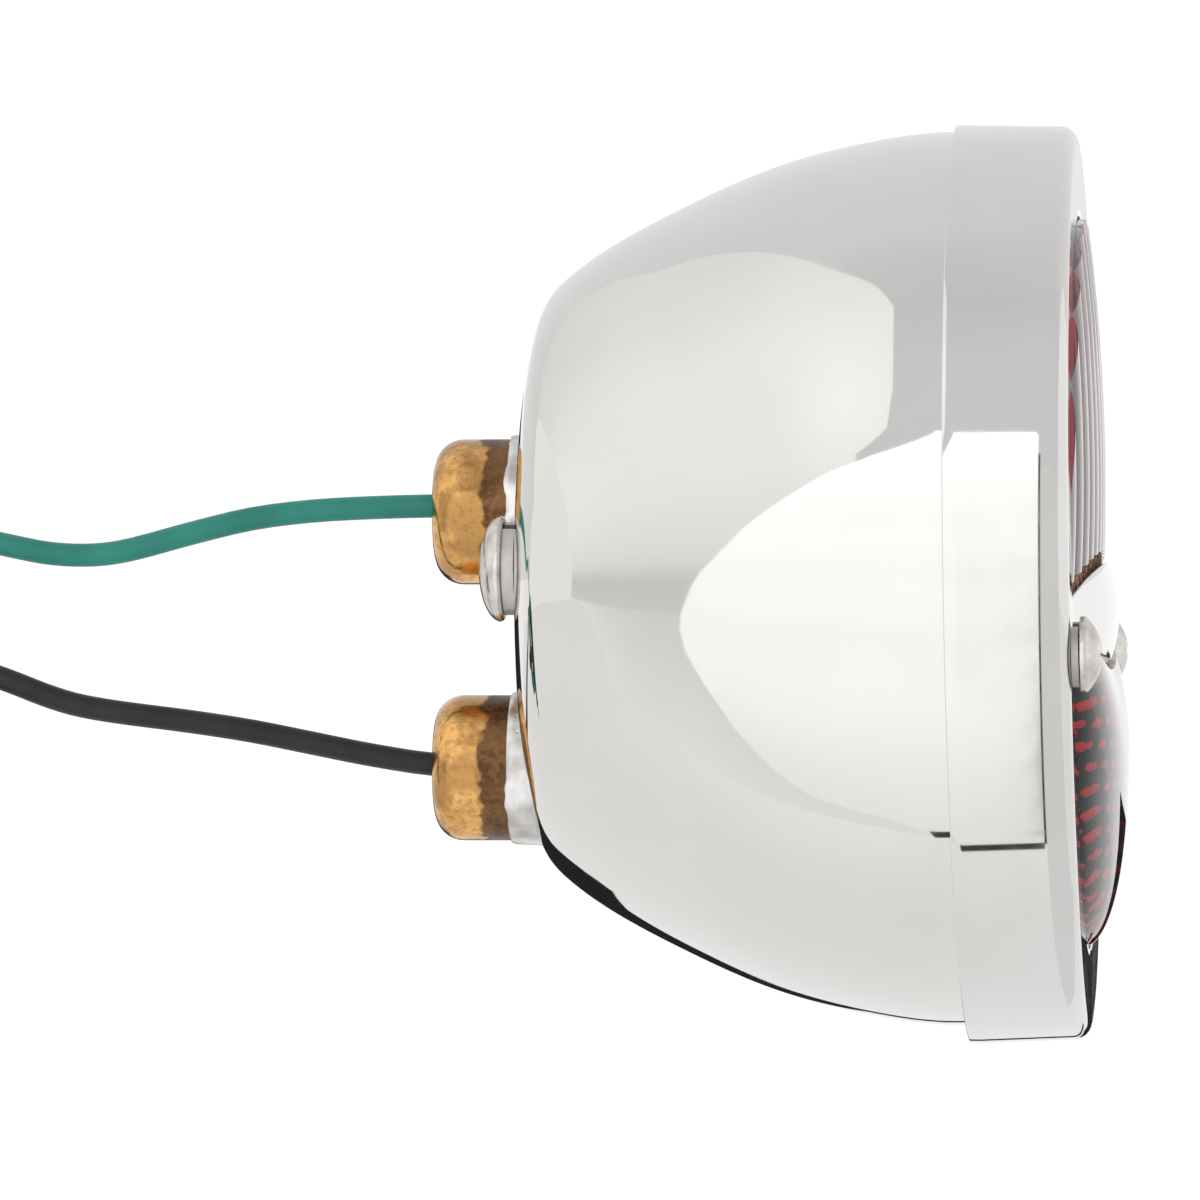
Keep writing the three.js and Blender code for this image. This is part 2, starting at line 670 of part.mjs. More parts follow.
function makeLens({ name, side, crown, height, axes, grid }) {
  const gasketFront = doorFace - DOOR_WALL - SEATED;
  const flangeFront = gasketFront - GASKET_THICKNESS - SEATED;
  const flangeBack = flangeFront - FLANGE_THICKNESS;
  const domeAt = (thinner) =>
    solid(new THREE.SphereGeometry(1, ...grid).scale(...axes.map((a) => a - thinner)))
      .translate([doorFace + crown - axes[0], 0, height]);
  const far = doorFace + crown + 1;
  const edge = OPENING_RADIUS - LENS_EDGE_GAP;
  const flange = prism(flangeOutline(side, FLANGE_RADIUS), flangeBack, flangeFront);
  const dome = prism(windowOutline(side, edge, CORK_EDGE), flangeBack, far).intersect(domeAt(0));
  const hollow = prism(
    windowOutline(side, edge - LENS_THICKNESS, CORK_EDGE + LENS_THICKNESS),
    flangeBack - 1,
    far,
  ).intersect(domeAt(LENS_THICKNESS));
  const body = flange.add(dome).subtract(hollow);
  place(doorPieces, `${name}_lens`, body, redGlass());

  const sheet = prism(flangeOutline(side, FLANGE_RADIUS), flangeFront + SEATED, gasketFront);
  const lip = prism(windowOutline(side, OPENING_RADIUS - 0.2, 0.2), flangeFront + SEATED, far)
    .intersect(domeAt(0.5))
    .intersect(block([0, far], [-60, 60], lipSpan(side)));
  const gap = prism(windowOutline(side, edge + 0.2, CORK_EDGE - 0.2), flangeBack, far);
  place(doorPieces, `${name}_lens_gasket`, sheet.add(lip).subtract(gap), cork());
}

// The band along the divider in which a gasket's raised edge may stand.
function lipSpan(side) {
  const far = BAR_HEIGHT + side * (BAR_HALF + CORK_EDGE + 0.5);
  return side > 0 ? [BAR_HEIGHT, far] : [far, BAR_HEIGHT];
}

function makeRetainer() {
  const front = doorFace - DOOR_WALL - GASKET_THICKNESS - FLANGE_THICKNESS - 3 * SEATED;
  const back = front - RETAINER_THICKNESS;
  const bar = block(
    [back, front],
    [-RETAINER_INNER - 1, RETAINER_INNER + 1],
    [BAR_HEIGHT - RETAINER_BAR, BAR_HEIGHT + RETAINER_BAR],
  );
  let plate = ring(back, front, RETAINER_INNER, RETAINER_OUTER, ROUND).add(bar);
  for (const { y } of screwPlaces()) {
    plate = plate.subtract(rod(back - 1, front + 1, SCREW_SHANK + RUNNING).translate([0, y, SCREW_HEIGHT]));
  }
  place(doorPieces, "lens_retainer", plate, steel());
}

function makeDoorScrew({ side, y }) {
  const at = [doorFace, y, SCREW_HEIGHT];
  const under = LOCK_WASHER + 2 * SEATED;
  const domeSize = (SCREW_HEAD_RADIUS ** 2 + (SCREW_HEAD - 0.4) ** 2) / (2 * (SCREW_HEAD - 0.4));
  const half = THREE.MathUtils.radToDeg(Math.asin(SCREW_HEAD_RADIUS / domeSize));
  const dome = arc(under + SCREW_HEAD - domeSize, 0, domeSize, half, 0).slice(0, -1);
  const top = under + SCREW_HEAD;
  let screw = turned([
    [under - SCREW_LENGTH, 0],
    [under - SCREW_LENGTH, SCREW_SHANK],
    [under, SCREW_SHANK],
    [under, SCREW_HEAD_RADIUS],
    ...dome,
    [top, 0],
  ]);
  const recess = SCREW_HEAD_RADIUS * 0.55;
  for (const turn of [0, 90]) {
    const arm = block([top - SCREW_RECESS, top + 1], [-recess, recess], [-0.45, 0.45]);
    screw = screw.subtract(arm.rotate([turn, 0, 0]));
  }
  place(doorPieces, `${side}_door_screw`, screw, stainless(), at);

  const lock = ring(SEATED, SEATED + LOCK_WASHER, SCREW_SHANK + RUNNING, LOCK_WASHER_RADIUS);
  const split = lock.subtract(washerSplit(LOCK_WASHER_RADIUS));
  place(doorPieces, `${side}_door_lock_washer`, split, steel(), at);
}

// A tab inside the rim, with the foot that a door screw goes into.
function makeBracket({ side, y }) {
  const out = Math.sign(y);
  const front = BOWL_DEPTH - BRACKET_SET_BACK;
  const height = SCREW_HEIGHT - DOOR_DROP;
  const rise = [height - BRACKET_WIDTH / 2, height + BRACKET_WIDTH / 2];
  const span = (from, to) => [from * out, to * out].sort((a, b) => a - b);
  const outer = bowlFilled(BOWL_WALL + RUNNING);
  const inner = bowlFilled(BOWL_WALL + RUNNING + BRACKET_SHEET);
  const leg = outer
    .subtract(inner)
    .intersect(block([front - BRACKET_LENGTH, front], span(SCREW_Y - 6, BOWL_RADIUS), rise));
  const foot = outer.intersect(block([front - BRACKET_FOOT, front], span(SCREW_Y - 4, BOWL_RADIUS), rise));
  const hole = rod(front - 9, front + 3, SCREW_SHANK + 2 * RUNNING).translate([0, y, height]);
  place(lamp, `${side}_door_bracket`, leg.add(foot).subtract(hole), steel());
}

// ---- leads

function coilSolid(inner, outer, wide) {
  const profile = [[inner, -wide], [outer, -wide], [outer, wide], [inner, wide], [inner, -wide]];
  const points = profile.map(([radius, along]) => new THREE.Vector2(radius, along));
  return solid(new THREE.LatheGeometry(points, SMALL));
}

function makeLeads() {
  for (const lead of LEADS) {
    const start = DISC_FRONT - DISC_THICKNESS - PLUNGER_TRAVEL - LEAD_START;
    const route = [[start, 0, lead.route[0][2]], ...lead.route];
    const visible = wire(curveThrough(route), LEAD_RADIUS, LEAD_STEPS);
    place(lamp, `${lead.name}_lead`, visible, wireCover(lead.colour));

    const end = curveThrough(lead.end);
    place(lamp, `${lead.name}_lead_end`, wire(end, LEAD_RADIUS, 1), wireCover(lead.colour));
    const from = end.getPoint(1);
    const along = end.getTangent(1);
    const tip = [RUNNING, LEAD_TIP_LENGTH].map((far) =>
      from.clone().addScaledVector(along, far).toArray(),
    );
    place(lamp, `${lead.name}_lead_tip`, wire(curveThrough(tip), LEAD_TIP_RADIUS, 1, 8), tinned());
  }
  const inner = COIL_RADIUS - COIL_DEEP / 2;
  const outer = COIL_RADIUS + COIL_DEEP / 2;
  const half = COIL_WIDE / 2;
  place(lamp, "lead_coil", coilSolid(inner, outer, half), wireCover(LEADS[1].colour), COIL_CENTRE);

  const slack = 2 * RUNNING;
  const band = block(
    [inner - slack - TIE_THICKNESS, outer + slack + TIE_THICKNESS],
    [-half - slack - TIE_THICKNESS, half + slack + TIE_THICKNESS],
    [-TIE_WIDTH / 2, TIE_WIDTH / 2],
  );
  const hole = block(
    [inner - slack, outer + slack],
    [-half - slack, half + slack],
    [-TIE_WIDTH, TIE_WIDTH],
  );
  place(lamp, "lead_tie", band.subtract(hole), fibre(), COIL_CENTRE);
}

makeBowl();
for (const socket of SOCKETS) {
  makeSocket(socket);
  makePlunger(socket);
  makeBulb(socket);
}
for (const screw of mountPlaces()) makeMountScrew(screw);
makeBaffle();
for (const screw of screwPlaces()) makeBracket(screw);
makeDoor();
for (const lens of LENSES) makeLens(lens);
makeRetainer();
for (const screw of screwPlaces()) makeDoorScrew(screw);
makeLeads();

export default lamp;
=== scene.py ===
"""A round twin-lens tail light, dressed around its CAD model. Sizes below are in millimetres."""
import math

import bmesh
import bpy
import numpy as np
from mathutils import Matrix, Vector, noise


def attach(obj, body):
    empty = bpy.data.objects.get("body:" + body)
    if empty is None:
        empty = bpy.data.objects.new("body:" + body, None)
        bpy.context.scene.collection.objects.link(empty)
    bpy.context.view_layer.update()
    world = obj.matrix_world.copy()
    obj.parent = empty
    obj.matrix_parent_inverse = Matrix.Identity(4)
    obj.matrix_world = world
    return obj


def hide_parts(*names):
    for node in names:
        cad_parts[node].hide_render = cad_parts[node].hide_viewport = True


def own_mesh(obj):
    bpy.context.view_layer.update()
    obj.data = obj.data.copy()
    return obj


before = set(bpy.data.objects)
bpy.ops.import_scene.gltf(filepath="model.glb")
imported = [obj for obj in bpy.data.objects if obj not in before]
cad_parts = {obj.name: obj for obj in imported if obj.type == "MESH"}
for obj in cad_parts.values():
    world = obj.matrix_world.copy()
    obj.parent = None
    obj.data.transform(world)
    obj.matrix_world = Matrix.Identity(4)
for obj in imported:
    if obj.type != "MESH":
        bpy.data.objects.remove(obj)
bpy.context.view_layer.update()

MM = 0.001

SHARP_ANGLE = 35.0
SAME_POINT = 0.0005
ON_AXIS = 1e-5

# Sizes shared with the CAD model
BOWL_DEPTH = 58.7
BOWL_RADIUS = 52.7
BOWL_WALL = 1.0
FLAT_RADIUS = 24.2
RIM_TAPER = 0.8
BOWL_SIDE = [
    (0.016, 0.567), (0.04, 0.634), (0.077, 0.678), (0.136, 0.727),
    (0.298, 0.827), (0.499, 0.924), (0.698, 0.98), (0.838, 0.998),
]
LAMPS = {
    "stop": {"height": 7.9, "bulb_radius": 13.0, "bulb_length": 46.5, "stem_end": 25.7},
    "tail": {"height": -22.4, "bulb_radius": 9.5, "bulb_length": 36.5, "stem_end": 21.3},
}
SIDES = {"right": -1, "left": 1}
SOCKET_RADIUS = 8.6
SOCKET_BACK = 11.6
SOCKET_FRONT = 13.0
SOCKET_WALL = 0.6
SOCKET_BEND = 3.3
SOCKET_GAP = 0.3
LEAD_HOLE = 2.4
PIN_WAY = ((0, 4.6), (6, 4.6), (12, 4.6), (18, 11))  # degrees round the socket, length along it
SPRING_BACK = -10.6
NECK_RADIUS = 6.7
FILAMENT_POINTS = 97
MOUNT_HOLE = 3.4
MOUNT_Y = 19.05
MOUNT_HEIGHT = 1.1
DOOR_FACE = 65.2
DOOR_RADIUS = 54.1
DOOR_DROP = 0.6
DOOR_LEAN = math.radians(-0.9)
OPENING = 43.2
LENS_RADIUS = 42.7
BAR_HEIGHT = -3.3
BAR_HALF = 5.7
BAR_END = 1.4
BAR_CROWN = 3.9
BAR_ROUND = 16.0
SCREW_Y = 47.5
SCREW_HEIGHT = -8.2
LEAD_RADIUS = 1.4
COIL_CENTRE = (-90.0, 0.0, -24.0)

DOOR_PLACE = (
    Matrix.Translation((BOWL_DEPTH, 0, -DOOR_DROP))
    @ Matrix.Rotation(DOOR_LEAN, 4, "Y")
    @ Matrix.Translation((-BOWL_DEPTH, 0, 0))
)


# ---- camera

def set_camera():
    """Level with the lamp, five degrees round towards its front."""
    yaw = math.radians(5)
    distance = 1.09
    look = Vector((-math.sin(yaw), math.cos(yaw), 0))
    data = bpy.data.cameras.new("camera")
    data.sensor_width = 36
    data.lens = 276.4
    data.clip_start = 0.05
    data.clip_end = 60
    camera = bpy.data.objects.new("camera", data)
    bpy.context.scene.collection.objects.link(camera)
    camera.location = Vector((0.00784, 0, -0.00254)) - look * distance
    camera.rotation_euler = (math.radians(90), 0, yaw)
    bpy.context.scene.camera = camera
    bpy.context.scene.view_settings.view_transform = "Standard"


set_camera()


# ---- shader nodes

def add_node(tree, kind, values=None, **settings):
    """A node with its settings, and with its sockets set by name or number."""
    node = tree.nodes.new(kind)
    for name, value in settings.items():
        setattr(node, name, value)
    for key, value in (values or {}).items():
        if isinstance(value, bpy.types.NodeSocket):
            tree.links.new(value, node.inputs[key])
        else:
            node.inputs[key].default_value = value
    return node


def new_group(name, takes, gives):
    """An empty shader group: takes is {name: default}, and gives lists the names of its values."""
    group = bpy.data.node_groups.new(name, "ShaderNodeTree")
    for label, default in takes.items():
        socket = group.interface.new_socket(label, in_out="INPUT", socket_type="NodeSocketFloat")
        socket.default_value = default
    for label in gives:
        group.interface.new_socket(label, in_out="OUTPUT", socket_type="NodeSocketFloat")
    return group, group.nodes.new("NodeGroupInput"), group.nodes.new("NodeGroupOutput")


def plus(tree, first, second):
    return add_node(tree, "ShaderNodeMath", {0: first, 1: second}, operation="ADD").outputs[0]


def less(tree, first, second):
    return add_node(tree, "ShaderNodeMath", {0: first, 1: second}, operation="SUBTRACT").outputs[0]


def times(tree, first, second):
    return add_node(tree, "ShaderNodeMath", {0: first, 1: second}, operation="MULTIPLY").outputs[0]


def object_place(tree):
    return add_node(tree, "ShaderNodeTexCoord").outputs["Object"]


def grain(tree, where, scale, detail, **more):
    """Noise at a scale per metre."""
    values = {"Vector": where, "Scale": scale, "Detail": detail, **more}
    return add_node(tree, "ShaderNodeTexNoise", values).outputs["Fac"]


def ramp(tree, factor, low, high, to_low=0.0, to_high=1.0):
    """Maps low..high to to_low..to_high with soft ends."""
    node = add_node(
        tree, "ShaderNodeMapRange",
        {"Value": factor, "From Min": low, "From Max": high, "To Min": to_low, "To Max": to_high},
        interpolation_type="SMOOTHSTEP",
    )
    return node.outputs["Result"]


def make_handling_group():
    """Marks that use leaves on a metal: hairline scratches, faint smears and small pits."""
    takes = dict(zip(MARKS, (1.0, 0.3, 0.3, 0.2)))
    group, taken, given = new_group("handling_marks", takes, ("Roughness", "Height"))
    size, scratches, smears, pits = (taken.outputs[label] for label in MARKS)
    sized = {0: object_place(group), "Scale": size}
    place = add_node(group, "ShaderNodeVectorMath", sized, operation="SCALE").outputs[0]
    hairs = {"Vector": place, "Rotation": (0.4, 0.2, 0.9), "Scale": (40, 900, 60)}
    turned_place = add_node(group, "ShaderNodeMapping", hairs).outputs[0]
    scratch = ramp(group, grain(group, turned_place, 1.0, 2.0), 0.62, 0.78)
    film = ramp(group, grain(group, place, 45.0, 5.0, Roughness=0.6), 0.45, 0.75)
    pit = ramp(group, grain(group, place, 700.0, 1.0), 0.7, 0.8)
    scratch = times(group, scratch, scratches)
    film = times(group, film, smears)
    pit = times(group, pit, pits)
    rough = plus(group, plus(group, scratch, film), pit)
    depth = plus(group, times(group, scratch, -0.4), times(group, pit, -1.0))
    group.links.new(rough, given.inputs["Roughness"])
    group.links.new(depth, given.inputs["Height"])
    return group


def make_mottle_group():
    """Uneven patches of two sizes, for patina, dye and cork."""
    group, taken, given = new_group("mottle", {"Scale": 100.0, "Edge": 0.15}, ("Mask", "Fine"))
    where = object_place(group)
    size, edge = taken.outputs["Scale"], taken.outputs["Edge"]
    broad = grain(group, where, size, 6.0)
    fine = grain(group, where, times(group, size, 7.0), 3.0)
    mask = ramp(group, broad, less(group, 0.5, edge), plus(group, 0.5, edge))
    group.links.new(mask, given.inputs["Mask"])
    group.links.new(fine, given.inputs["Fine"])
    return group


MARKS = ("Scale", "Scratches", "Smears", "Pits")
HANDLING = make_handling_group()
MOTTLE = make_mottle_group()


def use_group(tree, group, **values):
    """One use of a shader group: its outputs."""
    node = tree.nodes.new("ShaderNodeGroup")
    node.node_tree = group
    for name, value in values.items():
        node.inputs[name].default_value = value
    return node.outputs


def mottle(tree, scale, edge):
    return use_group(tree, MOTTLE, Scale=scale, Edge=edge)


def handling(tree, marks):
    return use_group(tree, HANDLING, **dict(zip(MARKS, marks)))


def new_material(name, **values):
    """A Principled material with its constant values set, and its tree."""
    made = bpy.data.materials.new(name)
    made.use_nodes = True
    shader = made.node_tree.nodes["Principled BSDF"]
    for key, value in values.items():
        shader.inputs[key.replace("_", " ")].default_value = value
    return made, made.node_tree


def feed(tree, **sources):
    """Links sources to the shader's sockets of the same names."""
    for key, source in sources.items():
        tree.links.new(source, tree.nodes["Principled BSDF"].inputs[key.replace("_", " ")])


def bump(tree, height, strength, distance=0.0002):
    values = {"Height": height, "Strength": strength, "Distance": distance}
    feed(tree, Normal=add_node(tree, "ShaderNodeBump", values).outputs["Normal"])


def blend_colour(tree, factor, first, second):
    """A mix of two colours, each given as three numbers or a socket."""
    colours = [c if isinstance(c, bpy.types.NodeSocket) else (*c, 1) for c in (first, second)]
    values = {0: factor, 6: colours[0], 7: colours[1]}
    return add_node(tree, "ShaderNodeMix", values, data_type="RGBA", clamp_factor=True).outputs[2]


def metal(name, light, dark, rough, spread, marks, patch=60.0, bumpy=0.05, ripple=0.0):
    """A metal whose colour and roughness wander a little, with handling marks and slow ripples."""
    made, tree = new_material(name, Metallic=1.0)
    patches = mottle(tree, patch, 0.2)
    wear = handling(tree, marks)
    values = {0: patches["Fine"], 1: spread, 2: rough}
    tone = add_node(tree, "ShaderNodeMath", values, operation="MULTIPLY_ADD").outputs[0]
    feed(
        tree, Base_Color=blend_colour(tree, patches["Mask"], light, dark),
        Roughness=plus(tree, tone, times(tree, wear["Roughness"], 0.2)),
    )
    height = wear["Height"]
    if ripple:
        height = plus(tree, height, times(tree, grain(tree, object_place(tree), 28.0, 1.0), ripple))
    bump(tree, height, bumpy)
    return made


def patina_brass(name):
    """Brass drawn bright at its closed end and browned where it was heated at the collar."""
    made, tree = new_material(name, Metallic=1.0)
    along = add_node(tree, "ShaderNodeSeparateXYZ", {0: object_place(tree)}).outputs["X"]
    patches = mottle(tree, 210.0, 0.12)
    ragged = mottle(tree, 330.0, 0.5)["Mask"]
    heated = ramp(tree, plus(tree, along, times(tree, ragged, 0.0035)), -0.0042, -0.0034)
    bright = blend_colour(tree, patches["Mask"], (0.80, 0.44, 0.15), (0.44, 0.24, 0.08))
    brown = blend_colour(tree, patches["Mask"], (0.19, 0.10, 0.045), (0.10, 0.05, 0.025))
    both = blend_colour(tree, heated, bright, brown)
    stained = times(tree, ramp(tree, patches["Fine"], 0.5, 0.62), 0.4)
    wear = handling(tree, (1.4, 0.8, 0.5, 0.6))
    feed(
        tree, Base_Color=blend_colour(tree, stained, both, (0.26, 0.14, 0.06)),
        Roughness=plus(tree, ramp(tree, heated, 0, 1, 0.16, 0.38), times(tree, wear["Roughness"], 0.25)),
    )
    bump(tree, plus(tree, wear["Height"], times(tree, ragged, 0.5)), 0.25)
    return made


def wire_cover(name, light, dark):
    """A soft extruded cover, a little uneven in colour and shine."""
    made, tree = new_material(name, Coat_Weight=0.06, Coat_Roughness=0.25, Specular_IOR_Level=0.3)
    patches = mottle(tree, 160.0, 0.3)
    feed(
        tree, Base_Color=blend_colour(tree, patches["Mask"], light, dark),
        Roughness=ramp(tree, patches["Fine"], 0.3, 0.7, 0.38, 0.52),
    )
    bump(tree, patches["Fine"], 0.12, 0.00008)
    return made


def crumbly(name, light, dark, scale, strength):
    """Cork or pressed fibre: light and dark grains with open pores."""
    made, tree = new_material(name)
    grains = add_node(tree, "ShaderNodeTexVoronoi", {"Vector": object_place(tree), "Scale": scale}).outputs
    red = add_node(tree, "ShaderNodeSeparateColor", {0: grains["Color"]}).outputs[0]
    tone = ramp(tree, red, 0.15, 0.85)
    feed(tree, Base_Color=blend_colour(tree, tone, dark, light), Roughness=ramp(tree, tone, 0, 1, 0.95, 0.75))
    bump(tree, less(tree, 1.0, grains["Distance"]), strength, 0.0004)
    return made


def glass(name, colour, dense, rough=0.02, coat=0.0):
    """Pressed glass with faint flow lines, whose tint wanders between two colours."""
    made, tree = new_material(name, Transmission_Weight=1.0, IOR=1.5, Coat_Weight=coat)
    patches = mottle(tree, 35.0, 0.4)
    feed(
        tree, Base_Color=blend_colour(tree, patches["Mask"], colour, dense),
        Roughness=ramp(tree, patches["Fine"], 0.4, 0.8, rough, rough + 0.04),
    )
    bump(tree, patches["Fine"], 0.02, 0.0001)
    return made


def bead_look():
    """Bright red beads with a painted glow: their emission stands in for the light that they catch."""
    made, tree = new_material("bright_red_beads_painted_glow", Roughness=0.2, Emission_Strength=0.9)
    colour = blend_colour(tree, mottle(tree, 90.0, 0.3)["Mask"], (0.85, 0.05, 0.08), (0.6, 0.03, 0.05))
    feed(tree, Base_Color=colour, Emission_Color=colour)
    return made


# Each metal's marks are its scale, scratches, smears and pits
LIGHT_MARKS = (1.0, 0.12, 0.25, 0.03)
LOOKS = {
    "bowl_steel": metal(
        "polished_stainless", (0.72, 0.71, 0.69), (0.70, 0.69, 0.67), 0.015, 0.03, LIGHT_MARKS, ripple=0.6,
    ),
    "door_steel": metal(
        "polished_door_stainless", (0.72, 0.71, 0.695), (0.69, 0.68, 0.66), 0.02, 0.04,
        LIGHT_MARKS, ripple=0.9,
    ),
    "fastener_steel": metal(
        "tumbled_stainless", (0.70, 0.67, 0.63), (0.50, 0.47, 0.43), 0.10, 0.16,
        (1.6, 0.5, 0.4, 1.0), patch=420.0, bumpy=0.5, ripple=1.2,
    ),
    "plain_steel": metal(
        "dull_plated_steel", (0.58, 0.57, 0.55), (0.40, 0.39, 0.37), 0.28, 0.25,
        (1.2, 0.5, 0.6, 0.5), patch=180.0, bumpy=0.25,
    ),
    "socket_brass": patina_brass("socket_brass_patina"),
    "contact_brass": metal(
        "turned_brass", (0.78, 0.55, 0.26), (0.55, 0.36, 0.14), 0.18, 0.2,
        (1.3, 0.5, 0.5, 0.3), patch=240.0, bumpy=0.2,
    ),
    "tinned_metal": metal(
        "solder_tin", (0.72, 0.71, 0.70), (0.46, 0.44, 0.42), 0.16, 0.3,
        (1.2, 0.4, 0.7, 0.7), patch=300.0, bumpy=0.6, ripple=1.6,
    ),
    "upper_red_glass": glass("reeded_red_glass", (0.30, 0.03, 0.04), (0.24, 0.022, 0.03), 0.03, coat=0.9),
    "lower_red_glass": glass("beaded_red_glass", (0.16, 0.006, 0.008), (0.12, 0.004, 0.006), 0.015),
    "clear_glass": glass("bulb_glass", (0.96, 0.97, 0.96), (0.96, 0.97, 0.96), 0.01),
    "cork": crumbly("old_cork", (0.30, 0.13, 0.06), (0.035, 0.014, 0.008), 1700.0, 0.8),
    "fibre": crumbly("pressed_fibre", (0.16, 0.10, 0.06), (0.07, 0.04, 0.025), 2600.0, 0.3),
    "green_cover": wire_cover("green_wire_cover", (0.020, 0.235, 0.185), (0.014, 0.175, 0.14)),
    "black_cover": wire_cover("black_wire_cover", (0.016, 0.016, 0.017), (0.009, 0.009, 0.010)),
}


# ---- making and placing pieces

def add_object(name, mesh):
    made = bpy.data.objects.new(name, mesh)
    bpy.context.scene.collection.objects.link(made)
    return made


def from_bmesh(bm, name):
    """A new object from a bmesh, which it uses up."""
    mesh = bpy.data.meshes.new(name)
    bm.to_mesh(mesh)
    bm.free()
    return add_object(name, mesh)


def sharpen(piece, angle=SHARP_ANGLE):
    piece.data.set_sharp_from_angle(angle=math.radians(angle))


def to_object(bm, name, sharp=SHARP_ANGLE, keep_faces=False):
    """A bmesh in millimetres as an object in metres, smooth but for its sharp edges."""
    bmesh.ops.remove_doubles(bm, verts=bm.verts, dist=SAME_POINT)
    if not keep_faces:
        bmesh.ops.recalc_face_normals(bm, faces=bm.faces)
    bmesh.ops.scale(bm, vec=(MM, MM, MM), verts=bm.verts)
    made = from_bmesh(bm, name)
    made.data.polygons.foreach_set("use_smooth", [True] * len(made.data.polygons))
    sharpen(made, sharp)
    return made


def skin(bm, lines, wrap=True, flip=False, caps=False):
    """Faces between neighbouring lines of points. wrap closes each line on itself, caps fills both ends."""
    for first, second in zip(lines, lines[1:]):
        count = max(len(first), len(second))
        for i in range(count if wrap else count - 1):
            j = (i + 1) % count
            corners = [(first, i), (first, j), (second, j), (second, i)]
            corners = list(dict.fromkeys(line[k % len(line)] for line, k in corners))
            if len(corners) > 2:
                bm.faces.new(corners[::-1] if flip else corners)
    if caps:
        bm.faces.new(lines[0][::-1])
        bm.faces.new(lines[-1])


def add_box(bm, centre, size, place=None):
    box = Matrix.Translation(centre) @ Matrix.Diagonal((*size, 1))
    bmesh.ops.create_cube(bm, size=1, matrix=place @ box if place else box)


def lean_with_door(piece):
    """Moves a finished piece from level to where the door leans."""
    for matrix in (Matrix.Scale(1 / MM, 4), DOOR_PLACE, Matrix.Scale(MM, 4)):
        piece.data.transform(matrix)


def fit(piece, body, slot, nodes=(), look=None):
    """Gives a finished piece its material, looked up by slot unless one is given, and its body, and hides the
    CAD nodes that it stands for.
    """
    piece.data.materials.clear()
    piece.data.materials.append(look or LOOKS[slot])
    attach(piece, body)
    if nodes:
        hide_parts(*nodes)
    return piece


def evaluated(piece):
    """Turns a piece with modifiers into a plain mesh."""
    bpy.context.view_layer.update()
    whole = piece.evaluated_get(bpy.context.evaluated_depsgraph_get())
    mesh = bpy.data.meshes.new_from_object(whole)
    piece.modifiers.clear()
    piece.data = mesh


def soften(profile, radius, steps=3):
    """The profile with each inner corner rounded."""
    out = [profile[0]]
    for before, corner, after in zip(profile, profile[1:], profile[2:]):
        b, c, a = (np.array(p, float) for p in (before, corner, after))
        into, away = b - c, a - c
        size = min(radius, np.linalg.norm(into) / 2, np.linalg.norm(away) / 2)
        if size < 1e-4:
            out.append(tuple(c))
            continue
        start = c + into / np.linalg.norm(into) * size
        end = c + away / np.linalg.norm(away) * size
        for i in range(steps + 1):
            t = i / steps
            out.append(tuple((1 - t) ** 2 * start + 2 * t * (1 - t) * c + t * t * end))
    out.append(profile[-1])
    return out


def lathe(profile, sides, at=(0.0, 0.0)):
    """A profile of (x, radius) turned about a line along X through (y, z)."""
    bm = bmesh.new()
    turn = [2 * math.pi * i / sides for i in range(sides)]
    rings = []
    for x, radius in profile:
        if radius < ON_AXIS:
            rings.append([bm.verts.new((x, *at))])
            continue
        points = [(x, at[0] + radius * math.cos(a), at[1] + radius * math.sin(a)) for a in turn]
        rings.append([bm.verts.new(point) for point in points])
    if len(rings[0]) > 1 or len(rings[-1]) > 1:
        rings.append(rings[0])
    skin(bm, rings)
    return bm


def turned(name, profile, at=(0.0, 0.0), sides=64, round_off=0.15):
    """A lathe-turned piece with its corners rounded off."""
    closed = profile[0][1] > ON_AXIS
    path = soften([*profile, profile[0]] if closed else profile, round_off) if round_off else list(profile)
    return to_object(lathe(path[:-1] if closed else path, sides, at), name)


def arc(x, radius, size, start, end, steps=8):
    angles = [math.radians(start + (end - start) * i / steps) for i in range(steps + 1)]
    return [(x + size * math.cos(a), radius + size * math.sin(a)) for a in angles]


def ring(x0, x1, inner, outer):
    return [(x0, inner), (x1, inner), (x1, outer), (x0, outer)]


def combine(piece, others, operation="DIFFERENCE"):
    """Takes other closed meshes out of a piece, or joins them to it, and deletes them."""
    for other in others:
        modifier = piece.modifiers.new("combine", "BOOLEAN")
        modifier.operation = operation
        modifier.solver = "EXACT"
        modifier.object = other
    evaluated(piece)
    for other in others:
        bpy.data.objects.remove(other)
    return piece


def smooth_through(points, steps):
    """A centripetal Catmull-Rom curve through the points."""
    points = [np.array(p, float) for p in points]
    ends = [2 * points[0] - points[1], *points, 2 * points[-1] - points[-2]]
    out = []
    for k in range(1, len(ends) - 2):
        p = ends[k - 1:k + 3]
        knots = [0.0]
        for a, b in zip(p, p[1:]):
            knots.append(knots[-1] + max(np.linalg.norm(b - a), 1e-6) ** 0.5)
        for i in range(steps):
            t = knots[1] + (knots[2] - knots[1]) * i / steps

            def mix(a, b, ta, tb):
                return a * (tb - t) / (tb - ta) + b * (t - ta) / (tb - ta)

            a1 = mix(p[0], p[1], knots[0], knots[1])
            a2 = mix(p[1], p[2], knots[1], knots[2])
            a3 = mix(p[2], p[3], knots[2], knots[3])
            b1 = mix(a1, a2, knots[0], knots[2])
            b2 = mix(a2, a3, knots[1], knots[3])
            out.append(mix(b1, b2, knots[1], knots[2]))
    out.append(points[-1])
    return [tuple(p) for p in out]


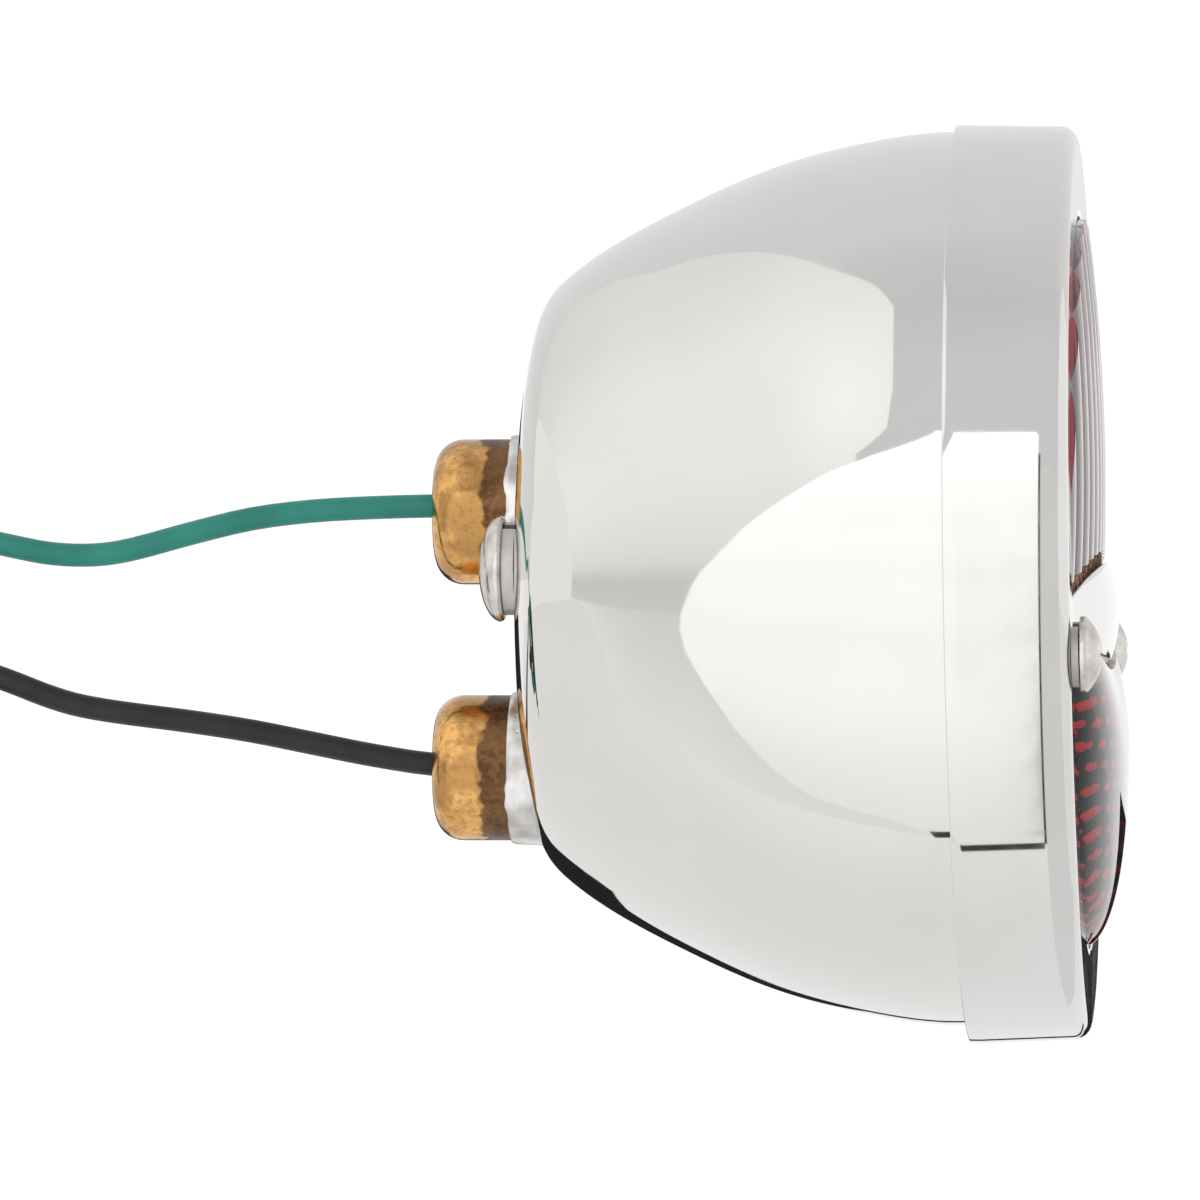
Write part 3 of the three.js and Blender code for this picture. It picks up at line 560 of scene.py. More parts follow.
def tube(name, points, radius, sides=12, sharp=40.0):
    """A closed round tube along points, each with the radius given or its own."""
    points = [Vector(p) for p in points]
    radii = radius if hasattr(radius, "__len__") else [radius] * len(points)
    angles = [2 * math.pi * k / sides for k in range(sides)]
    bm = bmesh.new()
    along = (points[1] - points[0]).normalized()
    side = along.orthogonal().normalized()
    rings = []
    for i, point in enumerate(points):
        ahead = points[min(i + 1, len(points) - 1)] - points[max(i - 1, 0)]
        turn = along.rotation_difference(ahead.normalized())
        side = (turn @ side).normalized()
        along = ahead.normalized()
        other = along.cross(side)
        spokes = [side * math.cos(a) + other * math.sin(a) for a in angles]
        rings.append([bm.verts.new(point + spoke * radii[i]) for spoke in spokes])
    skin(bm, rings, caps=True)
    return to_object(bm, name, sharp)


def merged(pieces, name):
    """Joins pieces into one new object and deletes them."""
    bm = bmesh.new()
    for piece in pieces:
        bm.from_mesh(piece.data)
    made = from_bmesh(bm, name)
    sharpen(made, 40)
    for piece in pieces:
        bpy.data.objects.remove(piece)
    return made


# ---- leads

LEAD_ROUTES = {
    "stop": [
        (-9.2, 0, 8.6), (-12, 0, 8.6), (-19.4, 0, 8.4), (-26.5, 0, 8), (-33.6, 0, 7.1), (-40.8, 0, 5.4),
        (-47.9, 0, 3.5), (-51.4, 0, 2.9), (-55, 0, 2.8), (-58.5, 0, 3.1), (-62.1, 0, 3.8),
        (-67, 0.5, 4.7), (-72.6, 1.6, 4.4), (-78.2, 2.7, 2.4), (-84, 3.3, -0.6), (-89.2, 3.5, -3.7),
    ],
    "tail": [
        (-9.2, 0, -22), (-12, 0, -22), (-19.4, 0, -20.9), (-26.5, 0, -19.5), (-33.6, 0, -18.1),
        (-40.8, 0, -17), (-47.9, 0, -16.1), (-51.4, 0, -15.6), (-55, 0, -14.9), (-58.5, 0, -13.8),
        (-62.1, 0, -12.4), (-65.6, 0.4, -11.2), (-69.2, 1.4, -10.3), (-72.3, 2.6, -10), (-75.3, 3.6, -10),
    ],
}
LEAD_ENDS = {
    "stop": [(-88.9, -3.4, -44.3), (-83.8, -3.4, -47.2)],
    "tail": [(-84.3, -3.6, -43.5), (-79.7, -3.6, -46.2)],
}
# Each lead's turns: radius, first and last angle from +X towards +Z, and how far it shifts along Y
LEAD_TURNS = {"stop": (17.0, 121, 960, 3.5, -3.4), "tail": (14.05, 90, 960, 3.6, -3.6)}


STRANDS = 7
STRAND_RADIUS = 0.28
STRAND_SPREAD = 0.52


def lead_path(name):
    """The whole way of a lead: its route, its turns in the coil and its end."""
    radius, first, last, y_first, y_last = LEAD_TURNS[name]
    count = round((last - first) / 15)
    turns = []
    for i in range(count + 1):
        share = i / count
        angle = math.radians(first + (last - first) * share)
        x, z = COIL_CENTRE[0] + radius * math.cos(angle), COIL_CENTRE[2] + radius * math.sin(angle)
        turns.append((x, y_first + (y_last - y_first) * share, z))
    return smooth_through([*LEAD_ROUTES[name], *turns, *LEAD_ENDS[name]], 3)


def make_tip(name):
    """The bare end: strands twisted together and tinned."""
    start, end = (Vector(p) for p in LEAD_ENDS[name])
    along = (end - start).normalized()
    across = along.orthogonal().normalized()
    other = along.cross(across)
    strands = []
    for strand in range(STRANDS):
        spread = 0 if strand == 0 else STRAND_SPREAD
        points = []
        for i in range(13):
            angle = strand * math.pi / 3 + i * 0.32
            centre = end + along * (0.3 + i * 0.475)
            points.append(centre + (across * math.cos(angle) + other * math.sin(angle)) * spread)
        strands.append(tube(f"{name}_strand_{strand}", points, STRAND_RADIUS, 8))
    return fit(merged(strands, f"{name}_bare_tip"), "housing", "tinned_metal", [f"{name}_lead_tip"])


def make_tie():
    """A flat strap round the coil, with its buckle and cut tail."""
    deep, wide, thick, half, corner = 3.7, 5.8, 0.9, 2.0, 1.6
    centre = Vector((COIL_CENTRE[0] + 15.5, 0, COIL_CENTRE[2]))
    section = [
        (0, -half), (0, half), (thick * 0.8, half),
        (thick, half - 0.4), (thick, 0.4 - half), (thick * 0.8, -half),
    ]
    bm = bmesh.new()
    rings = []
    for cx, cy, start in ((1, 1, 0), (-1, 1, 90), (-1, -1, 180), (1, -1, 270)):
        for i in range(7):
            angle = math.radians(start + 15 * i)
            c, s = math.cos(angle), math.sin(angle)
            x, y = cx * (deep - corner), cy * (wide - corner)
            points = [Vector((x + (corner + out) * c, y + (corner + out) * s, z)) for out, z in section]
            rings.append([bm.verts.new(centre + point) for point in points])
    skin(bm, rings + rings[:1])
    strap = to_object(bm, "tie_strap")
    bm = bmesh.new()
    add_box(bm, centre + Vector((deep + 1.0, 1.2, 0)), (1.7, 2.6, 4.6))
    add_box(bm, centre + Vector((deep + 0.9, 3.6, 0)), (0.8, 2.6, 3.2))
    bmesh.ops.bevel(bm, geom=bm.edges[:], offset=0.25, segments=2, affect="EDGES")
    buckle = to_object(bm, "tie_buckle")
    return fit(merged([strap, buckle], "coil_tie"), "housing", "black_cover", ["lead_tie"])


def make_leads():
    tie = make_tie()
    for name, slot, more_nodes in (("stop", "green_cover", ["lead_coil"]), ("tail", "black_cover", [])):
        points = lead_path(name)
        nodes = [f"{name}_lead", f"{name}_lead_end", *more_nodes]
        wire = fit(tube(f"{name}_wire", points, LEAD_RADIUS, 20), "housing", slot, nodes)
        tip = make_tip(name)


make_leads()


# ---- bowl

def spline(points, count):
    """A smooth curve through the points, starting along +radius, with continuous curvature."""
    points = np.array(points, float)
    steps = np.linalg.norm(np.diff(points, axis=0), axis=1)
    knots = np.concatenate([[0], np.cumsum(steps)])
    size = len(points)
    system = np.zeros((size, size))
    right = np.zeros((size, 2))
    system[0, 0] = 1
    right[0] = (0, 1)
    for i in range(1, size - 1):
        before, after = steps[i - 1], steps[i]
        system[i, i - 1:i + 2] = after, 2 * (before + after), before
        came, goes = points[i] - points[i - 1], points[i + 1] - points[i]
        right[i] = 3 * (after * came / before + before * goes / after)
    system[-1, -2:] = 1, 2
    right[-1] = 3 * (points[-1] - points[-2]) / steps[-1]
    slopes = np.linalg.solve(system, right)
    out = []
    for at in np.linspace(0, knots[-1], count):
        i = min(max(np.searchsorted(knots, at) - 1, 0), size - 2)
        t = (at - knots[i]) / steps[i]
        out.append(
            (2 * t ** 3 - 3 * t * t + 1) * points[i] + (t ** 3 - 2 * t * t + t) * steps[i] * slopes[i]
            + (3 * t * t - 2 * t ** 3) * points[i + 1] + (t ** 3 - t * t) * steps[i] * slopes[i + 1]
        )
    return np.array(out)


def bowl_curve():
    side = [(a * BOWL_DEPTH, b * BOWL_RADIUS) for a, b in BOWL_SIDE]
    return spline([(0, FLAT_RADIUS), *side, (BOWL_DEPTH, BOWL_RADIUS - RIM_TAPER)], 110)


def curve_normals(curve):
    along = np.gradient(curve, axis=0)
    along[0] = (0, 1)
    along /= np.linalg.norm(along, axis=1)[:, None]
    return np.stack([-along[:, 1], along[:, 0]], axis=1)


def cylinder_along_x(radius, at, x0, x1, sides=48):
    return to_object(lathe([(x0, 0), (x0, radius), (x1, radius), (x1, 0)], sides, at), "cutter")


def make_bowl():
    outer = bowl_curve()
    normals = curve_normals(outer)
    inner = outer - normals * BOWL_WALL
    inner = inner[inner[:, 0] <= BOWL_DEPTH]
    flat = (0, 6, 12, 18)
    profile = [(0.0, r) for r in flat] + [tuple(p) for p in (*outer, *inner[::-1])]
    profile += [(BOWL_WALL, r) for r in flat[::-1]]
    bowl = to_object(lathe(profile, 256), "bowl_shell")
    hole = SOCKET_RADIUS + SOCKET_GAP
    holes = [cylinder_along_x(hole, (0, lamp["height"]), -3, 12, 96) for lamp in LAMPS.values()]
    holes += [cylinder_along_x(MOUNT_HOLE, (side * MOUNT_Y, MOUNT_HEIGHT), -3, 5) for side in (-1, 1)]
    combine(bowl, holes)
    smooth_like_curve(bowl, outer, normals)
    fit(bowl, "housing", "bowl_steel", ["bowl"])


def smooth_like_curve(bowl, curve, curve_normal):
    """Gives each corner on the bowl's two faces the exact direction of the turned curve there."""
    mesh = bowl.data
    given = []
    for face in mesh.polygons:
        centre = np.array(face.center) / MM
        reach = math.hypot(centre[1], centre[2])
        across = face.normal.y * centre[1] + face.normal.z * centre[2]
        on_wall = (
            reach > 1e-6 and abs(face.normal.x) + abs(across / reach) > 0.9
            and centre[0] < BOWL_DEPTH - 0.05
        )
        outside = across / max(reach, 1e-6) - face.normal.x > 0
        flat_until = 0.01 if outside else BOWL_WALL + 0.01
        for index in face.vertices:
            point = np.array(mesh.vertices[index].co) / MM
            radius = math.hypot(point[1], point[2])
            if not on_wall:
                given.append(tuple(face.normal))
            elif point[0] < flat_until and radius <= FLAT_RADIUS:
                given.append((-1 if outside else 1, 0, 0))
            else:
                away = np.hypot(curve[:, 0] - point[0], curve[:, 1] - radius)
                normal = curve_normal[int(np.argmin(away))] * (1 if outside else -1)
                given.append((normal[0], normal[1] * point[1] / radius, normal[1] * point[2] / radius))
    mesh.normals_split_custom_set(given)


# ---- sockets, plungers and bulbs

def window(side, turn, length, height):
    """A cutter for a bayonet pin's way, turned about the socket's axis in degrees."""
    bm = bmesh.new()
    place = Matrix.Translation((0, 0, height)) @ Matrix.Rotation(math.radians(turn), 4, "X")
    add_box(bm, (3.7 + length / 2, side * 8.3, 0), (length, 2.4, 2.6), place)
    return to_object(bm, "window")


def make_socket(name):
    height = LAMPS[name]["height"]
    at = (0, height)
    back, front, radius, wall, bend = -SOCKET_BACK, SOCKET_FRONT, SOCKET_RADIUS, SOCKET_WALL, SOCKET_BEND
    shell = [
        (back, LEAD_HOLE), *arc(back + bend, radius - bend, bend, 180, 90),
        (front - 0.3, radius), (front, radius - 0.3), (front, radius - wall),
        *arc(back + bend, radius - bend, bend - wall, 90, 180), (back + wall, LEAD_HOLE),
    ]
    socket = turned(f"{name}_socket", shell, at, 96, 0)
    combine(socket, [window(side, turn, length, height) for side in (-1, 1) for turn, length in PIN_WAY])
    sharpen(socket)
    fit(socket, "housing", "socket_brass", [f"{name}_socket_shell"])
    make_collar(name)
    turns = [i * math.pi / 20 for i in range(161)]
    spring = [
        (SPRING_BACK + 5.6 * i / 160, 5 * math.cos(a), height + 5 * math.sin(a)) for i, a in enumerate(turns)
    ]
    coil = fit(tube(f"{name}_spring", spring, 0.3, 8), "housing", "plain_steel", [f"{name}_contact_spring"])
    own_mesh(coil)
    disc = turned(f"{name}_contact_plate", ring(-4.6, -3.0, 1.4, 7.7), at, 64, 0.2)
    fit(disc, f"{name}_plunger", "fibre", [f"{name}_contact_disc"])
    button = [(-5.3, 0), (-5.3, 2), (-4.7, 2), (-4.7, 1.1), (-2.9, 1.1)]
    button += [(-2.9, 2), (-2.3, 2), (-1.9, 1.2), (-1.9, 0)]
    rivet = turned(f"{name}_contact_rivet", button, at, 40, 0.12)
    fit(rivet, f"{name}_plunger", "contact_brass", [f"{name}_contact_button"])


def make_collar(name):
    """A tinned ring soldered round the socket where it enters the bowl, lumpy with solder."""
    height = LAMPS[name]["height"]
    front = 0.35 if name == "stop" else 2.6
    inner = 8.72
    profile = [(-2.5, inner), (-2.5, 8.95), (-2.1, 9.1), (-1.0, 9.15), (front, 9.3), (front, inner)]
    bm = lathe(soften([*profile, profile[0]], 0.3, 2)[:-1], 120, (0, height))
    bmesh.ops.subdivide_edges(bm, edges=bm.edges[:], cuts=1)
    for vertex in bm.verts:
        y, z = vertex.co.y, vertex.co.z - height
        if math.hypot(y, z) > 8.9:
            lump = noise.noise(Vector((vertex.co.x * 0.5, y * 0.45, z * 0.45 + height)))
            grow = 1 + 0.022 * max(lump, -0.25)
            vertex.co.y, vertex.co.z = y * grow, height + z * grow
            vertex.co.x -= 0.5 * max(lump, 0) * (vertex.co.x < -1.5)
    fit(to_object(bm, f"{name}_solder_ring", 80), "housing", "tinned_metal", [f"{name}_socket_collar"])


def make_bulb(name):
    lamp = LAMPS[name]
    height, ball, light = lamp["height"], lamp["bulb_radius"], lamp["bulb_length"] - lamp["bulb_radius"]
    at, body, stem_end = (0, height), f"{name}_bulb", lamp["stem_end"]
    tip = [(-1.8, 0), (-1.8, 0.9), (-1.3, 1.6), (-0.9, 1.8), (-0.9, 0)]
    fit(turned(f"{name}_lamp_tip", tip, at, 32, 0.3), body, "tinned_metal", [f"{name}_bulb_tip"])
    plug = [(-0.8, 0), (-0.8, 3.4), (0.6, 5.4), (1.8, 5.4), (1.8, 0)]
    fit(turned(f"{name}_lamp_insulator", plug, at, 48, 0.2), body, "fibre", [f"{name}_bulb_insulator"])
    base = [
        (-0.5, 5.7), (0.7, 7.1), (1.1, 7.6), (14.6, 7.6), (14.9, 7.75),
        (15.3, 7.75), (15.5, 7.5), (15.5, 7.15), (1.9, 7.15), (1.0, 5.7),
    ]
    cap = turned(f"{name}_lamp_cap", base, at, 72, 0.25)
    pins = []
    for side in (-1, 1):
        pin = to_object(lathe(soften([(7.2, 0), (7.2, 1), (8.9, 1), (8.9, 0)], 0.2), 24), "pin")
        turn = Matrix.Rotation(side * math.pi / 2, 4, "Z")
        pin.data.transform(Matrix.Translation((7 * MM, 0, height * MM)) @ turn)
        pins.append(pin)
    fit(merged([cap, *pins], f"{name}_lamp_base"), body, "contact_brass", [f"{name}_bulb_base"])
    start = math.degrees(math.asin(NECK_RADIUS / ball))
    outside = arc(light, 0, ball, 180 - start, 0, 40)
    inside = arc(light, 0, ball - 0.6, 0, 180 - start - 2, 40)
    envelope = [(13.3, NECK_RADIUS), *outside, *inside, (13.3, NECK_RADIUS - 0.6)]
    glass_shell = to_object(lathe([(x, max(r, 0.0)) for x, r in envelope], 72, at), f"{name}_lamp_glass", 60)
    fit(glass_shell, body, "clear_glass", [f"{name}_bulb_glass"])
    stem = [(2.6, 0), (2.6, 2.6), (9, 2.5)]
    stem += [(stem_end - 3, 1.8), (stem_end - 1, 2.2), (stem_end, 1.6), (stem_end, 0)]
    fit(turned(f"{name}_lamp_stem", stem, at, 32, 0.5), body, "clear_glass", [f"{name}_bulb_stem"])
    legs = [(stem_end + 0.3, -1.4), ((stem_end + light) / 2, -2.2), (light - 0.6, -3.4)]
    coil = []
    for i in range(FILAMENT_POINTS):
        share = i / (FILAMENT_POINTS - 1)
        y = -2.6 + 5.2 * share
        sag = 0.6 * (1 - (y / 2.6) ** 2)
        turn = share * 2 * math.pi * 12
        coil.append((light + sag + 0.28 * math.cos(turn), y, height + 0.28 * math.sin(turn)))
    path = [(x, y, height) for x, y in legs] + coil + [(x, -y, height) for x, y in legs[::-1]]
    thick = [0.17] * 3 + [0.09] * FILAMENT_POINTS + [0.17] * 3
    fit(tube(f"{name}_lamp_filament", path, thick, 6), body, "plain_steel", [f"{name}_bulb_filament"])


# ---- screws, washers and nuts

def dome(x0, x1, radius, steps=10):
    """A low dome from a rim at x0 to a crown at x1."""
    rise = abs(x1 - x0)
    ball = (radius ** 2 + rise ** 2) / (2 * rise)
    sign = 1 if x1 > x0 else -1
    points = []
    for i in range(steps + 1):
        r = radius * (1 - i / steps)
        points.append((x0 + sign * (math.sqrt(ball ** 2 - r * r) - (ball - rise)), r))
    return points


def threaded(x0, x1, radius, pitch, depth=0.25):
    """Points of a ridged shank, as near to a thread as a turned profile comes."""
    step = pitch if x1 > x0 else -pitch
    out = []
    for i in range(int(abs(x1 - x0) / pitch)):
        out += [(x0 + step * i, radius - depth), (x0 + step * (i + 0.5), radius)]
    return out[1:]


def make_split_washer(name, x0, x1, inner, outer, at, body, node, door=False):
    """A spring washer cut through once, its two ends sprung apart a little."""
    bm = bmesh.new()
    count, gap, spread = 60, 0.11, 0.16
    rings = []
    for i in range(count + 1):
        angle = math.radians(115) + gap + (2 * math.pi - 2 * gap) * i / count
        spring = spread * (i / count - 0.5)
        y, z = math.cos(angle), math.sin(angle)
        rings.append([
            bm.verts.new((x + spring, at[0] + r * y, at[1] + r * z))
            for x, r in ((x0, inner), (x0, outer), (x1, outer), (x1, inner))
        ])
    skin(bm, rings, caps=True)
    edges = [e for e in bm.edges if len(e.link_faces) == 2 and e.calc_face_angle(0) > 0.7]
    bmesh.ops.bevel(bm, geom=edges, offset=0.12, segments=2, affect="EDGES")
    if door:
        bmesh.ops.transform(bm, matrix=DOOR_PLACE, verts=bm.verts)
    fit(to_object(bm, name), body, "fastener_steel", [node], LOOKS["plain_steel"])


def make_mounts():
    for side_name, side in SIDES.items():
        at = (side * MOUNT_Y, MOUNT_HEIGHT)
        quarter = [math.radians(6 * i) for i in range(16)]
        head = [(-1.95 - 2.65 * math.cos(a), 6.2 * math.sin(a)) for a in quarter]
        screw = [*head, (-1.6, 5.9), (-1.6, 3.1), *threaded(0, 12.1, 3.1, 1.1), (12.4, 2.6), (12.4, 0)]
        piece = turned(f"{side_name}_mounting_screw", screw, at, 64, 0.12)
        fit(piece, "housing", "fastener_steel", [f"{side_name}_mount_screw"])
        make_split_washer(
            f"{side_name}_mounting_lock_washer", -1.5, -0.1, 3.4, 5.4, at,
            "housing", f"{side_name}_mount_lock_washer",
        )
        washer = turned(f"{side_name}_mounting_washer", ring(1.1, 2.1, 3.4, 5.6), at, 48, 0.15)
        fit(washer, "housing", "plain_steel", [f"{side_name}_mount_washer"])
        bm = bmesh.new()
        add_box(bm, (4.45, *at), (4.5, 10, 10))
        bmesh.ops.bevel(bm, geom=bm.edges[:], offset=0.35, segments=2, affect="EDGES")
        nut = combine(to_object(bm, f"{side_name}_mounting_nut"), [cylinder_along_x(3.35, at, 1, 8)])
        sharpen(nut)
        fit(nut, "housing", "plain_steel", [f"{side_name}_mount_nut"])


def make_door_screws():
    shank, crown, recess_floor, narrowing = 2.1, 68.7, 68, 0.55
    for side_name, side in SIDES.items():
        at = (side * SCREW_Y, SCREW_HEIGHT)
        head = dome(66.9, crown, 4.3)[::-1]
        thread = threaded(64.5, 53.6, shank, 0.8, 0.2)
        profile = [*head, (66.2, 4.3), (66.2, shank), *thread, (53.2, 1.6), (53.2, 0)]
        screw = turned(f"{side_name}_cross_head_screw", profile, at, 64, 0.12)
        cross = []
        for wide, tall in ((4.73, 0.9), (0.9, 4.73)):
            bm = bmesh.new()
            add_box(bm, (crown, *at), (2.8, wide, tall))
            for vertex in bm.verts:
                if vertex.co.x < recess_floor:
                    vertex.co.y = at[0] + (vertex.co.y - at[0]) * narrowing
                    vertex.co.z = at[1] + (vertex.co.z - at[1]) * narrowing
            cross.append(to_object(bm, "recess"))
        combine(screw, cross)
        lean_with_door(screw)
        sharpen(screw)
        fit(screw, f"{side_name}_door_fastener", "fastener_steel", [f"{side_name}_door_screw"])
        make_split_washer(
            f"{side_name}_cross_head_lock_washer", 65.3, 66.1, 2.4, 3.7, at,
            f"{side_name}_door_washer", f"{side_name}_door_lock_washer", door=True,
        )


# ---- door, lenses and gaskets

def bar_half(y):
    return BAR_END + (BAR_HALF - BAR_END) * (1 - min(1, (y / OPENING) ** 2))


def bar_crown(t, rise):
    """How far the divider stands out: t runs along it from -1 to 1, rise is the distance from its line."""
    along = max(0.0, 1 - t * t) ** 1.3
    return BAR_CROWN * along - rise * rise / (2 * BAR_ROUND) * min(1.0, along * 2.5)


def bezel_angles(rows):
    """Angles round the opening: the divider's right end, the upper arc, its left end and the lower arc."""
    right = [math.asin((BAR_HEIGHT + s * BAR_END) / OPENING) for s in rows]
    steps = [i / 108 for i in range(1, 108)]
    upper = [right[-1] + (math.pi - 2 * right[-1]) * step for step in steps]
    lower = [math.pi - right[0] + (math.pi + 2 * right[0]) * step for step in steps]
    return right + upper + [math.pi - a for a in right[::-1]] + lower, len(right + upper)


def make_bezel():
    """Skirt, rolled corner, front ring and raised leaf-shaped divider in one pressed sheet."""
    roll, corner_x, corner_radius, skirt_radius, skirt_back = 2, 63.2, 51.75, 53.75, 51.1
    rows = [-1 + i / 8 for i in range(17)]
    eighths = [i / 8 for i in range(8)]
    angles, left_start = bezel_angles(rows)
    corner = [
        (corner_x + roll * math.sin(math.radians(a)), corner_radius + roll * math.cos(math.radians(a)))
        for a in range(90, -1, -15)
    ]
    skirt = [
        (skirt_back + (corner_x - skirt_back) * t, DOOR_RADIUS + (skirt_radius - DOOR_RADIUS) * t)
        for t in eighths
    ]
    face = [(DOOR_FACE, OPENING + (corner_radius - OPENING) * t) for t in eighths]
    bm = bmesh.new()
    rings = [
        [bm.verts.new((x, r * math.cos(a), r * math.sin(a))) for a in angles]
        for x, r in [*face, *corner, *skirt[::-1]]
    ]
    skin(bm, rings)
    columns = 72
    grid = [rings[0][left_start:left_start + 17][::-1]]
    for c in range(1, columns):
        t = -1 + 2 * c / columns
        line = []
        for s in rows:
            z = BAR_HEIGHT + s * bar_half(t * OPENING)
            y = t * math.sqrt(OPENING ** 2 - z * z)
            line.append(bm.verts.new((DOOR_FACE + bar_crown(t, z - BAR_HEIGHT), y, z)))
        grid.append(line)
    grid.append(rings[0][:17])
    skin(bm, grid, wrap=False)
    bmesh.ops.recalc_face_normals(bm, faces=bm.faces)
    if sum(f.normal.x * f.calc_area() for f in bm.faces) < 0:
        bmesh.ops.reverse_faces(bm, faces=bm.faces)
    bmesh.ops.transform(bm, matrix=DOOR_PLACE, verts=bm.verts)
    bezel = to_object(bm, "door_rim", 50, keep_faces=True)
    wall = bezel.modifiers.new("wall", "SOLIDIFY")
    wall.thickness = 0.55 * MM
    wall.offset = -1
    wall.use_even_offset = True
    soft = bezel.modifiers.new("soft", "BEVEL")
    soft.width = 0.14 * MM
    soft.segments = 2
    soft.limit_method = "ANGLE"
    soft.angle_limit = math.radians(50)
    evaluated(bezel)
    holes = [cylinder_along_x(2.4, (side * SCREW_Y, SCREW_HEIGHT), 60, 70) for side in (-1, 1)]
    for hole in holes:
        lean_with_door(hole)
    combine(bezel, holes)
    sharpen(bezel, 50)
    fit(bezel, "door", "door_steel", ["bezel"])


def opening_line(upper, radius, margin, y):
    """At one y across an opening: y, the height beside the divider and the height at the rim."""
    sign = 1 if upper else -1
    near = BAR_HEIGHT + sign * (bar_half(y) + margin)
    far = sign * math.sqrt(max(radius ** 2 - y * y, 0))
    return (y, near, far) if sign * (far - near) > 0.02 else (y, near, near + sign * 0.02)


def opening_lines(upper, radius, margin, columns=None):
    """Lines across one opening, closer together at its two ends."""
    widest = radius
    for _ in range(20):
        z = BAR_HEIGHT + (1 if upper else -1) * (bar_half(widest) + margin)
        widest = math.sqrt(radius ** 2 - z * z)
    inner = widest - 0.8
    count = columns or int(2 * inner / 0.55)
    ends = [widest, widest - 0.2, widest - 0.45]
    ys = [-y for y in ends] + [-inner + 2 * inner * i / count for i in range(count + 1)] + ends[::-1]
    return [opening_line(upper, radius, margin, y) for y in ys]


def make_lens(name, upper, front, back, slot, thickness=2.6):
    """A pressed lens: front(y, z) is its outside and back(y, z) shapes its inside.

    The retainer holds it by the flange behind.
    """
    rows, flange_radius, flange_front, flange_back = 44, 45.3, 63.6, 61.5
    outer_lines = opening_lines(upper, LENS_RADIUS, 1.25)
    inner_lines = opening_lines(upper, 40.6, 3.2, len(outer_lines) - 7)
    bm = bmesh.new()

    def sheet(lines, height):
        grid = []
        for y, near, far in lines:
            zs = [near + (far - near) * (0.5 - 0.5 * math.cos(math.pi * k / rows)) for k in range(rows + 1)]
            grid.append([bm.verts.new((height(y, z), y, z)) for z in zs])
        return grid

    def edge(grid):
        far_side, near_side = [line[-1] for line in grid[1:-1]], [line[0] for line in grid[-2:0:-1]]
        return grid[0] + far_side + grid[-1][::-1] + near_side

    def outward(y, z):
        reach = math.hypot(y, z)
        if abs(reach - LENS_RADIUS) < 0.05:
            return y * (flange_radius / reach), z * (flange_radius / reach)
        return y * 45.0 / LENS_RADIUS, BAR_HEIGHT + (1 if upper else -1) * 1.4

    outside = sheet(outer_lines, front)
    inside = sheet(inner_lines, lambda y, z: back(y, z) - thickness)
    skin(bm, outside, wrap=False)
    skin(bm, inside, wrap=False, flip=True)
    loop, inner_loop = edge(outside), edge(inside)
    steps = [[bm.verts.new((63.7, v.co.y, v.co.z)) for v in loop]]
    for x in (flange_front, flange_back):
        steps.append([bm.verts.new((x, *outward(v.co.y, v.co.z))) for v in loop])
    steps.append([bm.verts.new((flange_back, v.co.y, v.co.z)) for v in inner_loop])
    skin(bm, [loop, *steps, inner_loop])
    bmesh.ops.transform(bm, matrix=DOOR_PLACE, verts=bm.verts)
    return fit(to_object(bm, name, 40), "door", slot, [name.replace("_glass", "_lens")])


BEAD_ACROSS = 4.6
BEAD_UP = 2.5
BEAD_SINK = 0.75
REED_PITCH = 6.6
REED_DEPTH = 0.85
REED_BALL = (REED_PITCH ** 2 / 4 + REED_DEPTH ** 2) / (2 * REED_DEPTH)


def upper_dome(y, z):
    under = max(0.02, 1 - (y / 112) ** 2 - ((z - 14.6) / 86.6) ** 2)
    return 37.2 + 30 * math.sqrt(under)


def upper_front(y, z):
    """A broad dome with upright rounded ribs."""
    across = (y + REED_PITCH / 2) % REED_PITCH - REED_PITCH / 2
    return upper_dome(y, z) + math.sqrt(REED_BALL ** 2 - across ** 2) - (REED_BALL - REED_DEPTH) - 0.4


def lower_dome(y, z):
    """A full dome that sinks to the door all round and starts high under the divider."""
    from_bar = max(0.0, BAR_HEIGHT - bar_half(y) - 1.2 - z)
    fall = max(0.0, 1 - (math.hypot(y, z) / 42.9) ** 4)
    rise = 0.45 + 0.55 * (1 - (1 - min(from_bar / 12, 1)) ** 2)
    return 64.3 + 5.8 * math.sqrt(fall * rise)


